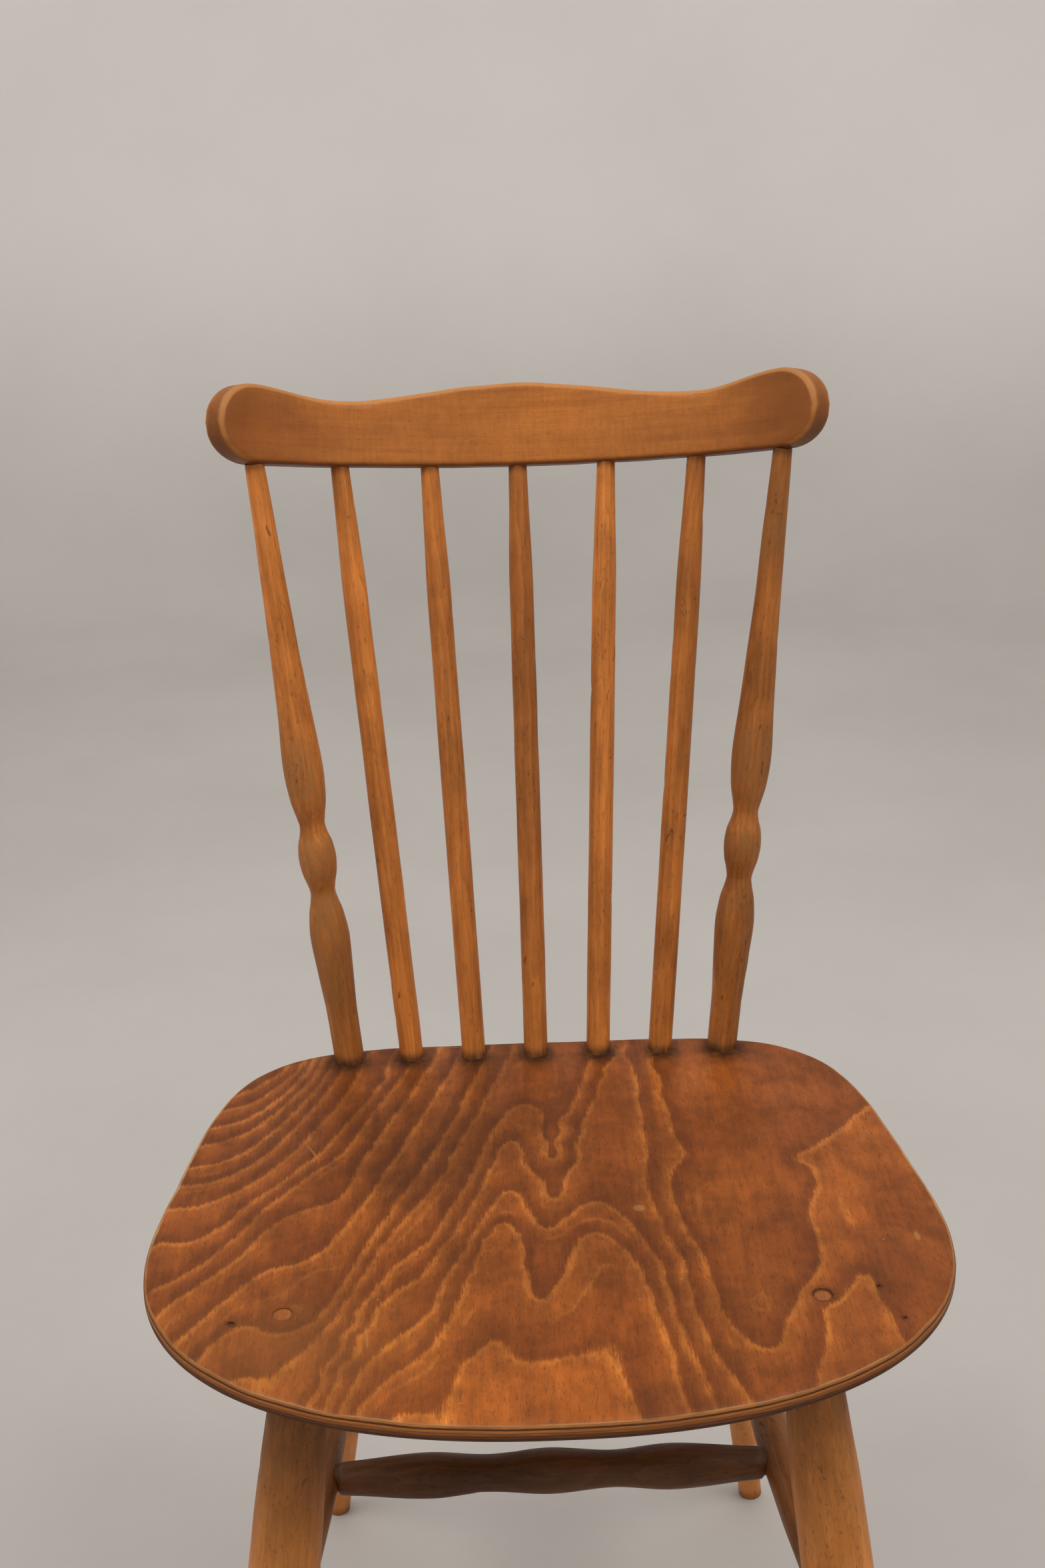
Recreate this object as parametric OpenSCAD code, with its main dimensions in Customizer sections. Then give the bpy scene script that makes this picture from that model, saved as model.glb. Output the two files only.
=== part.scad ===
// Dining chair with a plywood seat, a spindle back under a bent crest rail,
// four splayed turned legs and a turned H stretcher.
// Origin: on the floor, under the middle of the whole chair. The chair faces -Y.

/* [Seat] */
// Height of the seat's upper face above the floor
seat_h = 440; // [420:5:460]
// Thickness of the plywood seat
seat_t = 11; // [10:0.5:14]
// Half width of the seat before its taper
seat_half_w = 210; // [205:1:225]
// Depth of the seat from front to back
seat_d = 364; // [356:1:370]
// Share of the half width lost over 180 mm towards the back
seat_taper = 0.11; // [0.08:0.01:0.13]
// Radius that rounds the seat's upper and lower edges
seat_round = 4; // [2:0.5:4.5]

/* [Back] */
// Angle at which the back leans from upright
rake = 15.8; // [12:0.2:18]
// Height of the crest rail's lower edge above the seat, along the lean
crest_low = 365; // [340:1:390]
// Radius of the crest rail's bend, at the middle of its thickness
crest_bend = 224; // [222:1:260]
// Thickness of the crest rail
crest_t = 16; // [15:0.5:20]
// Height of the crest rail in the middle
crest_mid = 50; // [46:1:56]
// Height of the crest rail at its two dips
crest_dip = 38.8; // [36:0.2:42]
// Height of the crest rail at its two raised ends
crest_end = 46; // [44:1:50]
// Radius that rounds the crest rail's edges
crest_round = 3.5; // [2:0.5:4]
// Spacing of the back's feet along the seat
base_pitch = 39.1; // [37:0.1:41]

/* [Legs] */
// Half distance between the front legs at the seat
front_top_x = 125; // [118:1:126]
// Half distance between the front feet
front_foot_x = 180; // [165:1:195]
// Half distance between the rear legs at the seat
rear_top_x = 104; // [98:1:108]
// Half distance between the rear feet
rear_foot_x = 157; // [140:1:170]
// How far the front feet stand ahead of the leg tops
front_splay = 48; // [30:1:60]
// How far the rear feet stand behind the leg tops
rear_splay = 137; // [90:1:145]
// Thickness of the two battens under the seat
batten_t = 20; // [18:1:24]

/* [Stretchers] */
// Height of the side stretchers above the floor
stretcher_h = 228; // [215:1:250]

/* [Hidden] */
$fn = 48;
overlap = 0.01;          // makes neighbouring solids of one piece share a thin layer
seam_turn = 40;          // turns round pieces so that no seam ends on a slanted cut's tip

// Seat outline: a rounded egg, full in front and squarer behind.
seat_shift = -50;        // the seat's centre stands this far ahead of the origin
seat_waist = -4.5;       // where the front curve meets the rear curve
front_power = 2.28;
rear_power = 5;
outline_steps = 120;
corner_crowding = 14;    // moves the outline's points towards its tight turns
taper_over = 180;        // distance over which seat_taper is lost
under_seat = seat_h - seat_t;
batten_low = under_seat - batten_t;
round_steps = 3;

// Back: feet on one line near the seat's rear edge, heads on the crest's bend.
base_y = 163;
head_angles = [0, 13.9, 28.5, 43.3];
crest_tenon = 20;
crest_half = 199;        // half length along the bend
crest_lobe = 26;         // half length of each rounded end
crest_dip_at = 115;      // distance of the dips from the middle, along the bend
crest_steps = 40;
plain_tenon_r = 6;
post_tenon_r = 7;
head_tenon_r = 4.5;
toe_cover = 3;           // wood left under the tenons that stop inside the rear batten
foot_spare = 6;          // extra length turned below an upright's foot, before it is cut level
foot_tenon_root = 6;     // how far a foot tenon's cylinder runs up into its upright
head_start = 5;          // how far below the crest its bores start

// Turned shapes, as [distance along the axis, radius]. Between them the curve is smooth,
// and it lies level at each bead and waist.
spindle_shape = [[0, 7.4], [140, 7.6], [290, 7.4], [335, 6.3], [366, 5.5]];
post_shape = [
    [0, 9.2], [30, 9.5], [60, 11.2], [80, 12.1], [95, 10.6], [105, 8.2],
    [109, 7.6], [113, 8.3], [122, 10.6], [130, 11.4], [138, 10.7], [147, 8.2],
    [151, 7.7], [155, 8.4], [168, 11], [184, 12], [219, 10.3], [268, 8.2],
    [320, 6.8], [366, 5.6]
];
// Leg radius against the share of the way from the floor to the batten
leg_shape = [
    [-0.04, 8.4], [0, 8.6], [0.2, 9.9], [0.42, 15.2],
    [0.6, 19], [0.8, 18], [1, 14.4], [1.04, 13.6]
];
cross_shape = [[0, 13.3], [0.29, 10.8], [0.56, 13.4], [0.9, 10.2], [0.985, 9.4], [1, 7.6]];
side_shape = [[0, 7.6], [0.1, 8.6], [0.5, 12], [0.9, 8.6], [1, 7.6]];
leg_tenon_r = 11;
leg_tenon_cover = 2;     // gap between a leg tenon's end and the plywood
leg_tenon_root = 8;      // how far the tenon's cylinder runs down into the leg
side_tenon_r = 7;
cross_tenon_r = 6.5;
leg_face = 17;           // from a leg's centre line to the side stretcher's shoulder
cross_face = 11.6;       // from a side stretcher's centre line to the cross one's shoulder

// Battens under the plywood: a front one between the front legs, and a rear one
// that takes the rear legs and the feet of the back.
front_top_y = -108;
front_batten_y = -107;
front_batten_half = 142;
front_batten_w = 46;
rear_top_y = 125;
rear_batten_half = 131;
rear_batten_w = 72;
rear_batten_y = 135;
batten_corner = 10;
batten_chamfer = 4;

// Screws through the seat into the front batten, under wooden plugs
screw_x = 135;
screw_y = -97;
plug_r = 5;
plug_t = 4;
plug_sink = 0.5;         // how far a plug stands below the seat's upper face
screw_r = 2;
screw_head_r = 4;
screw_head_t = 3;
screw_len = 22;

function chord(p, i) = (p[i + 1][1] - p[i][1]) / (p[i + 1][0] - p[i][0]);

// Slope of a turned curve at one of its points: level at a bead or a waist
function slope(p, i) =
    i == 0 ? chord(p, 0)
    : i == len(p) - 1 ? chord(p, i - 1)
    : chord(p, i - 1) * chord(p, i) <= 0 ? 0
    : 2 * chord(p, i - 1) * chord(p, i) / (chord(p, i - 1) + chord(p, i));

// Radius on the smooth curve, the share t of the way from point i to the next
function turned_radius(p, i, t) =
    let (span = p[i + 1][0] - p[i][0])
    (1 + 2 * t) * pow(1 - t, 2) * p[i][1]
    + t * pow(1 - t, 2) * span * slope(p, i)
    + t * t * (3 - 2 * t) * p[i + 1][1]
    + t * t * (t - 1) * span * slope(p, i + 1);

// Outline of a turned piece, as [radius, distance] from its first point to its last
function turned(p, steps = 3) = [
    for (i = [0 : len(p) - 2], k = [0 : steps - 1])
        let (t = k / steps)
        [turned_radius(p, i, t), p[i][0] + t * (p[i + 1][0] - p[i][0])],
    [p[len(p) - 1][1], p[len(p) - 1][0]]
];

function scaled(p, length) = [for (q = p) [q[0] * length, q[1]]];

// Puts what stands on the Z axis onto the line from a towards b
module along(a, b) {
    d = b - a;
    translate(a) rotate([0, acos(d.z / norm(d)), atan2(d.y, d.x)]) rotate(seam_turn) children();
}

// Solid of revolution with an optional straight tenon at either end
module turning(outline, low_r = 0, low_len = 0, high_r = 0, high_len = 0) {
    last = len(outline) - 1;
    low_z = outline[0].y;
    high_z = outline[last].y;
    low = low_len > 0 ? [[0, low_z - low_len], [low_r, low_z - low_len], [low_r, low_z]] : [[0, low_z]];
    high = high_len > 0
        ? [[high_r, high_z], [high_r, high_z + high_len], [0, high_z + high_len]]
        : [[0, high_z]];
    rotate_extrude() polygon(concat(low, outline, high));
}

// A point of the seat's outline at angle a, with 0 to the right and 90 behind
function seat_edge(a) =
    let (
        power = sin(a) < 0 ? front_power : rear_power,
        along_y = seat_d / 2 * sign(sin(a)) * pow(abs(sin(a)), 2 / power),
        along_x = seat_half_w * sign(cos(a)) * pow(abs(cos(a)), 2 / power)
    )
    [along_x * (1 - seat_taper * along_y / taper_over), seat_waist + along_y];

// Angle of outline point i, closer together where the outline turns quickly
function seat_angle(i) =
    let (a = 360 * i / outline_steps)
    a - corner_crowding * sin(4 * a);

// Unit vector pointing out of a closed outline at point i
function outward(points, i) =
    let (
        n = len(points),
        d = points[(i + 1) % n] - points[(i + n - 1) % n]
    )
    [d.y, -d.x] / norm(d);

function inset(points, depth) =
    [for (i = [0 : len(points) - 1]) points[i] - depth * outward(points, i)];

// Insets and heights that round both edges of a board of thickness t
function round_profile(t, r) = [
    for (k = [0 : round_steps]) [r * (1 - sin(90 * k / round_steps)), r * (1 - cos(90 * k / round_steps))],
    for (k = [round_steps : -1 : 0]) [r * (1 - sin(90 * k / round_steps)), t - r * (1 - cos(90 * k / round_steps))]
];

// Faces that join rings of n points one above the other
function wall_faces(n, rings) = [
    for (k = [0 : rings - 2], i = [0 : n - 1])
        [k * n + i, k * n + (i + 1) % n, (k + 1) * n + (i + 1) % n, (k + 1) * n + i]
];

module seat_board() {
    edge = [for (i = [0 : outline_steps - 1]) seat_edge(seat_angle(i))];
    profile = round_profile(seat_t, seat_round);
    rings = len(profile);
    points = [for (q = profile, p = inset(edge, q[0])) [p.x, p.y, q[1]]];
    low_face = [for (i = [outline_steps - 1 : -1 : 0]) i];
    high_face = [for (i = [0 : outline_steps - 1]) (rings - 1) * outline_steps + i];
    translate([0, 0, under_seat])
        polyhedron([for (p = points) p], [for (f = concat([low_face, high_face], wall_faces(outline_steps, rings)))
            [for (i = [len(f) - 1 : -1 : 0]) f[i]]], convexity = 4);
}

// Point of the back's own frame: x to the right, n behind its line, h up along its lean
function back_point(x, n, h) = [
    x,
    base_y + n * cos(rake) + h * sin(rake),
    seat_h - n * sin(rake) + h * cos(rake)
];

// Point on the bent crest: s along the bend, h up, w out from the middle of its thickness
function crest_point(s, h, w) =
    let (a = s / crest_bend * 180 / PI)
    back_point((crest_bend + w) * sin(a), (crest_bend + w) * cos(a) - crest_bend, h);

// Foot and head of the upright in place i, counted from the middle one
function upright_foot(i) = back_point(base_pitch * i, 0, 0);
function upright_head(i) =
    let (a = sign(i) * head_angles[abs(i)])
    back_point(crest_bend * sin(a), crest_bend * (cos(a) - 1), crest_low);

// Height of the crest's upper edge at distance s from the middle
function crest_top(s) =
    let (lobe_at = crest_half - crest_lobe, d = abs(s))
    d < crest_dip_at
        ? crest_dip + (crest_mid - crest_dip) * (1 + cos(180 * d / crest_dip_at)) / 2
    : d < lobe_at
        ? crest_dip + (crest_end - crest_dip) * (1 - cos(180 * (d - crest_dip_at) / (lobe_at - crest_dip_at))) / 2
    : crest_end / 2 * (1 + sqrt(max(0, 1 - pow((d - lobe_at) / crest_lobe, 2))));
function crest_bottom(s) =
    let (lobe_at = crest_half - crest_lobe, d = abs(s))
    d < lobe_at ? 0 : crest_end / 2 * (1 - sqrt(max(0, 1 - pow((d - lobe_at) / crest_lobe, 2))));

// Outline of the crest laid flat: along the bottom to the right, back along the top
function crest_outline() =
    let (places = [for (k = [0 : crest_steps]) crest_half * sin(180 * k / crest_steps - 90)])
    concat(
        [for (k = [0 : crest_steps]) [places[k], crest_low + crest_bottom(places[k])]],
        [for (k = [crest_steps - 1 : -1 : 1]) [places[k], crest_low + crest_top(places[k])]]
    );

// Strips across the crest's face from its bottom edge to its top edge
function face_strips(n, start) = [
    for (k = [0 : crest_steps - 1])
        let (low_a = k, low_b = k + 1, high_a = (n - k) % n, high_b = n - k - 1)
        each low_a == high_a ? [[start + low_a, start + low_b, start + high_b]]
            : low_b == high_b ? [[start + low_a, start + low_b, start + high_a]]
            : [[start + low_a, start + low_b, start + high_b], [start + low_a, start + high_b, start + high_a]]
];

function flipped(faces) = [for (f = faces) [for (i = [len(f) - 1 : -1 : 0]) f[i]]];

module crest_board() {
    edge = crest_outline();
    n = len(edge);
    profile = round_profile(crest_t, crest_round);
    rings = len(profile);
    points = [for (q = profile, p = inset(edge, q[0])) crest_point(p.x, p.y, q[1] - crest_t / 2)];
    wall = [
        for (f = wall_faces(n, rings))
            each [[f[0], f[1], f[2]], [f[0], f[2], f[3]]]
    ];
    polyhedron(points, concat(face_strips(n, 0), flipped(wall), flipped(face_strips(n, (rings - 1) * n))),
        convexity = 6);
}

// Keeps the seat's own frame: its centre line stands seat_shift ahead of the origin
module placed() {
    translate([0, seat_shift, 0]) children();
}

// Everything between two heights
module layer(low, high) {
    translate([0, 0, (low + high) / 2]) cube([2 * seat_d, 2 * seat_d, high - low], center = true);
}

// Straight round piece or bore between two points
module rod(a, b, r) {
    along(a, b) cylinder(r = r, h = norm(b - a));
}

// Bottom end of an upright, where its tenon stops inside the rear batten
function upright_toe(i) =
    let (foot = upright_foot(i), d = upright_head(i) - foot)
    foot - d * (seat_h - batten_low - toe_cover) / d.z;
function upright_peak(i) =
    let (head = upright_head(i), d = head - upright_foot(i))
    head + d / norm(d) * crest_tenon;
function tenon_r(i) = abs(i) == 3 ? post_tenon_r : plain_tenon_r;

module upright_bores() {
    for (i = [-3 : 3]) rod(upright_toe(i), 2 * upright_foot(i) - upright_toe(i), tenon_r(i));
}

// Upright of the back: its turned body stands flat on the seat, and a tenon at either end
// runs into the seat and rear batten and into the crest rail
module upright(i, shape) {
    foot = upright_foot(i);
    head = upright_head(i);
    length = norm(head - foot);
    color("chocolate") placed() {
        intersection() {
            along(foot, head)
                turning(turned(scaled(shape, length / crest_low)), shape[0][1], foot_spare, head_tenon_r, crest_tenon);
            layer(seat_h, 2 * seat_h);
        }
        rod(upright_toe(i), foot + (head - foot) * foot_tenon_root / length, tenon_r(i));
    }
}

module seat_panel() {
    color("peru") placed() difference() {
        seat_board();
        upright_bores();
        for (side = [-1, 1]) translate([side * screw_x, screw_y, 0]) {
            translate([0, 0, seat_h - plug_t]) cylinder(r = plug_r, h = plug_t + 1);
            translate([0, 0, seat_h - plug_t - screw_head_t])
                cylinder(r = screw_head_r, h = screw_head_t + overlap);
            translate([0, 0, under_seat - 1]) cylinder(r = screw_r, h = seat_t);
        }
    }
}

module screw_plugs() {
    color("saddlebrown") placed() for (side = [-1, 1])
        translate([side * screw_x, screw_y, seat_h - plug_t]) cylinder(r = plug_r, h = plug_t - plug_sink);
}

module seat_screws() {
    color("silver") placed() for (side = [-1, 1]) translate([side * screw_x, screw_y, seat_h - plug_t]) {
        translate([0, 0, -screw_head_t]) cylinder(r = screw_head_r, h = screw_head_t);
        translate([0, 0, -screw_len]) cylinder(r = screw_r, h = screw_len - screw_head_t + overlap);
    }
}

// Flat board with rounded corners and a chamfer round its lower face
module batten(half, width) {
    function corners(shrink) = [
        for (q = [[1, 1, 0], [-1, 1, 90], [-1, -1, 180], [1, -1, 270]], a = [0 : 15 : 90])
            [q[0] * (half - batten_corner), q[1] * (width / 2 - batten_corner)]
            + (batten_corner - shrink) * [cos(q[2] + a), sin(q[2] + a)]
    ];
    translate([0, 0, batten_low + batten_chamfer])
        linear_extrude(batten_t - batten_chamfer) polygon(corners(0));
    translate([0, 0, batten_low])
        linear_extrude(batten_chamfer) polygon(corners(batten_chamfer));
}

function front_top(side) = [side * front_top_x, front_top_y, under_seat];
function front_foot(side) = [side * front_foot_x, front_top_y - front_splay, 0];
function rear_top(side) = [side * rear_top_x, rear_top_y, under_seat];
function rear_foot(side) = [side * rear_foot_x, rear_top_y + rear_splay, 0];

// Point where the line from a to b reaches height z
function at_height(a, b, z) = a + (b - a) * (z - a.z) / (b.z - a.z);

// The leg's tenon in its batten, with the root that runs down into the leg; also its socket
module leg_tenon(top, foot) {
    root = at_height(top, foot, batten_low - leg_tenon_root);
    rod(root, at_height(top, foot, under_seat - leg_tenon_cover), leg_tenon_r);
}

module front_batten() {
    color("burlywood") placed() difference() {
        translate([0, front_batten_y, 0]) batten(front_batten_half, front_batten_w);
        for (side = [-1, 1]) {
            leg_tenon(front_top(side), front_foot(side));
            translate([side * screw_x, screw_y, seat_h - plug_t - screw_len]) cylinder(r = screw_r, h = screw_len);
        }
    }
}

module rear_batten() {
    color("burlywood") placed() difference() {
        translate([0, rear_batten_y, 0]) batten(rear_batten_half, rear_batten_w);
        for (side = [-1, 1])
            leg_tenon(rear_top(side), rear_foot(side));
        upright_bores();
    }
}

module crest_rail() {
    color("chocolate") placed() difference() {
        crest_board();
        for (i = [-3 : 3]) {
            head = upright_head(i);
            peak = upright_peak(i);
            rod(head - (peak - head) * head_start / crest_tenon, peak, head_tenon_r);
        }
    }
}

module back_post_left() { upright(-3, post_shape); }
module back_post_right() { upright(3, post_shape); }
module spindle_1() { upright(-2, spindle_shape); }
module spindle_2() { upright(-1, spindle_shape); }
module spindle_3() { upright(0, spindle_shape); }
module spindle_4() { upright(1, spindle_shape); }
module spindle_5() { upright(2, spindle_shape); }

// Where the side stretcher's centre line meets the front and rear legs
function side_front(side) = at_height(front_top(side), front_foot(side), stretcher_h);
function side_rear(side) = at_height(rear_top(side), rear_foot(side), stretcher_h);
function side_middle(side) = (side_front(side) + side_rear(side)) / 2;

// Turned leg, cut level at the floor and at the batten, with a blind bore for its stretcher
module leg(top, foot, stretcher_a, stretcher_b) {
    length = norm(at_height(top, foot, batten_low) - foot);
    color("peru") placed() difference() {
        union() {
            intersection() {
                along(foot, top) turning(turned(scaled(leg_shape, length), 4));
                layer(0, batten_low);
            }
            leg_tenon(top, foot);
        }
        rod(stretcher_a, stretcher_b, side_tenon_r);
    }
}

module front_leg_left() { leg(front_top(-1), front_foot(-1), side_front(-1), side_middle(-1)); }
module front_leg_right() { leg(front_top(1), front_foot(1), side_front(1), side_middle(1)); }
module rear_leg_left() { leg(rear_top(-1), rear_foot(-1), side_rear(-1), side_middle(-1)); }
module rear_leg_right() { leg(rear_top(1), rear_foot(1), side_rear(1), side_middle(1)); }

module side_stretcher(side) {
    a = side_front(side);
    b = side_rear(side);
    length = norm(b - a) - 2 * leg_face;
    color("sienna") placed() difference() {
        along(a + (b - a) / norm(b - a) * leg_face, b)
            turning(turned(scaled(side_shape, length), 4), side_tenon_r, leg_face, side_tenon_r, leg_face);
        rod(side_middle(side), side_middle(-side), cross_tenon_r);
    }
}
module side_stretcher_left() { side_stretcher(-1); }
module side_stretcher_right() { side_stretcher(1); }

module cross_stretcher() {
    reach = side_middle(1).x - cross_face;
    half = scaled(cross_shape, reach);
    mirrored = [for (i = [len(half) - 1 : -1 : 1]) [-half[i][0], half[i][1]]];
    color("sienna") placed() translate([0, side_middle(1).y, stretcher_h]) rotate([0, 90, 0])
        turning(turned(concat(mirrored, half), 4), cross_tenon_r, cross_face, cross_tenon_r, cross_face);
}

seat_panel();
screw_plugs();
seat_screws();
front_batten();
rear_batten();
crest_rail();
back_post_left();
back_post_right();
spindle_1();
spindle_2();
spindle_3();
spindle_4();
spindle_5();
front_leg_left();
front_leg_right();
rear_leg_left();
rear_leg_right();
side_stretcher_left();
side_stretcher_right();
cross_stretcher();
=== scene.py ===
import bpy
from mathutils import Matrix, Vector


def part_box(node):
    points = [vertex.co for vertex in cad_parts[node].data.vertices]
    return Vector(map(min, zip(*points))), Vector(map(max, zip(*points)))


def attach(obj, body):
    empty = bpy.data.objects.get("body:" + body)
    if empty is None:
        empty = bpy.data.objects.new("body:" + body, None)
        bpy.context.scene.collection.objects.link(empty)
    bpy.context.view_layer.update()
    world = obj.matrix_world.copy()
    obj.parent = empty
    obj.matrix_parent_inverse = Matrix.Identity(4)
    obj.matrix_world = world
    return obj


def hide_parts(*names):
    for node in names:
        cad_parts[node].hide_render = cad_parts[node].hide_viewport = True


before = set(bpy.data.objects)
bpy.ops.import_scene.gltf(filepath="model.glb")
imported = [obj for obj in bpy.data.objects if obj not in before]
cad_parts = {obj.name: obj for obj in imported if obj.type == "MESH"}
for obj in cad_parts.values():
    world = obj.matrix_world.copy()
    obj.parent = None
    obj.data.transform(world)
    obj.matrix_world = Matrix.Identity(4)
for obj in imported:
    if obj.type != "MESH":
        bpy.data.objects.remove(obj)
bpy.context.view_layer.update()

import math

import bpy
import numpy as np
from mathutils import Matrix, Vector

# The dining chair's visible pieces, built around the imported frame.
# Shapes are worked out in millimetres in the seat's own frame, whose middle line
# stands SHIFT ahead of the origin, and go to metres in the row frame at the end.

MM = 0.001
SHIFT = np.array([0.0, -50.0, 0.0])
TAU = 2 * math.pi

seat_lo, seat_hi = (np.array(c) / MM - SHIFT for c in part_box("seat_panel"))
SEAT_TOP = seat_hi[2]
SEAT_T = seat_hi[2] - seat_lo[2]
SEAT_D = seat_hi[1] - seat_lo[1]
WAIST = (seat_hi[1] + seat_lo[1]) / 2
SEAT_ROUND = 4.0
FRONT_POWER, REAR_POWER, TAPER = 2.28, 5.0, 0.11 / 180

BATTEN_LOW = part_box("front_batten")[0].z / MM
STRETCHER_H = (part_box("cross_stretcher")[0].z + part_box("cross_stretcher")[1].z) / 2 / MM

RAKE = math.radians(15.8)
BASE_Y, BASE_PITCH = 163.0, 39.1
CREST_LOW, CREST_BEND, CREST_T = 365.0, 224.0, 16.0
CREST_MID, CREST_DIP, CREST_END = 50.0, 38.8, 46.0
CREST_HALF, CREST_LOBE, CREST_DIP_AT = 199.0, 26.0, 115.0
HEAD_ANGLES = [0.0, 13.9, 28.5, 43.3]

SPINDLE = [(0, 7.4), (140, 7.6), (290, 7.4), (335, 6.3), (366, 5.5)]
POST = [
    (0, 9.2), (30, 9.5), (60, 11.2), (80, 12.1), (95, 10.6), (105, 8.2),
    (109, 7.6), (113, 8.3), (122, 10.6), (130, 11.4), (138, 10.7), (147, 8.2),
    (151, 7.7), (155, 8.4), (168, 11), (184, 12), (219, 10.3), (268, 8.2),
    (320, 6.8), (366, 5.6),
]
POST_FOOT_R, SPINDLE_FOOT_R = 9.2, 7.5
LEG = [(-0.04, 8.2), (0, 8.42), (0.2, 9.9), (0.42, 15.2), (0.6, 19), (0.8, 18), (1, 14.4), (1.04, 13.6)]
CROSS = [(0, 13.3), (0.29, 10.8), (0.56, 13.4), (0.9, 10.2), (0.985, 9.4), (1, 7.6)]
SIDE = [(0, 7.6), (0.1, 8.6), (0.5, 12), (0.9, 8.6), (1, 7.6)]
LEG_FACE, CROSS_FACE = 17.0, 11.6
FRONT_TOP_Y, REAR_TOP_Y = -108.0, 125.0
PLUG_X, PLUG_Y, PLUG_R = 135.0, -97.0, 5.0
PLUG_PLAY, PLUG_DEPTH = 0.06, 3.9


def unit(v):
    return v / np.linalg.norm(v)


def to_frame(points):
    return (np.asarray(points, float) + SHIFT) * MM


def smoothstep(low, high, x):
    t = np.clip((x - low) / (high - low), 0, 1)
    return t * t * (3 - 2 * t)


def ripple(points, seed, size, terms=28):
    """Smooth noise of about unit strength whose features are size across, at each point."""
    rng = np.random.default_rng(seed)
    total = np.zeros(len(points))
    for _ in range(terms):
        wave = unit(rng.normal(size=points.shape[1])) * TAU / size * rng.uniform(0.5, 1.4)
        total += np.sin(points @ wave + rng.uniform(0, TAU))
    return total / math.sqrt(terms / 2)


# ---------------------------------------------------------------- mesh helpers

def make_piece(name, points, faces, sharp=None):
    """A mesh object from points in metres in the row frame."""
    mesh = bpy.data.meshes.new(name)
    mesh.from_pydata([tuple(map(float, p)) for p in points], [], faces)
    mesh.validate()
    mesh.shade_smooth()
    if sharp:
        mesh.set_sharp_from_angle(angle=math.radians(sharp))
    obj = bpy.data.objects.new(name, mesh)
    bpy.context.scene.collection.objects.link(obj)
    return obj


def put(obj, name, values):
    """Stores one number or vector per vertex for the materials."""
    values = np.asarray(values, np.float32)
    vector = values.ndim == 2
    layer = obj.data.attributes.get(name)
    if layer is None:
        layer = obj.data.attributes.new(name, "FLOAT_VECTOR" if vector else "FLOAT", "POINT")
    layer.data.foreach_set("vector" if vector else "value", values.ravel())


def places(obj):
    co = np.zeros(len(obj.data.vertices) * 3, np.float32)
    obj.data.vertices.foreach_get("co", co)
    return co.reshape(-1, 3).astype(float)


def dress(obj, material, slot, *nodes):
    obj.data.materials.clear()
    obj.data.materials.append(material)
    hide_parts(*nodes)
    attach(obj, "root")
    return obj


def ring_faces(rings, n):
    """Quads between successive rings of n points each."""
    return [
        (k * n + i, k * n + (i + 1) % n, (k + 1) * n + (i + 1) % n, (k + 1) * n + i)
        for k in range(rings - 1)
        for i in range(n)
    ]


def fan(start, n, centre, turn):
    """Triangles that close a ring of n points around a centre point."""
    return [
        (start + i, start + (i + 1) % n, centre) if turn else (start + (i + 1) % n, start + i, centre)
        for i in range(n)
    ]


def round_solid(x, y, line, count):
    """Points and faces of a closed round solid about an upright axis, through (radius, height) pairs."""
    a = np.arange(count) / count * TAU
    rings = [np.column_stack([x + r * np.cos(a), y + r * np.sin(a), np.full(count, z)]) for r, z in line]
    points = np.vstack(rings + [[[x, y, line[0][1]], [x, y, line[-1][1]]]])
    faces = ring_faces(len(line), count) + fan(0, count, len(points) - 2, False)
    return points, faces + fan((len(line) - 1) * count, count, len(points) - 1, True)


# ---------------------------------------------------------------- turned pieces

def curve_at(shape, x):
    """Radius of a turned shape at distances x, level at every bead and waist."""
    px = np.array([p[0] for p in shape], float)
    pr = np.array([p[1] for p in shape], float)
    chord = np.diff(pr) / np.diff(px)
    slope = np.empty(len(px))
    slope[0], slope[-1] = chord[0], chord[-1]
    a, b = chord[:-1], chord[1:]
    together = a * b > 0
    slope[1:-1] = np.where(together, 2 * a * b / np.where(together, a + b, 1), 0)
    x = np.clip(x, px[0], px[-1])
    i = np.clip(np.searchsorted(px, x, side="right") - 1, 0, len(px) - 2)
    span = px[i + 1] - px[i]
    t = (x - px[i]) / span
    return (
        (1 + 2 * t) * (1 - t) ** 2 * pr[i]
        + t * (1 - t) ** 2 * span * slope[i]
        + t * t * (3 - 2 * t) * pr[i + 1]
        + t * t * (t - 1) * span * slope[i + 1]
    )


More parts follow.
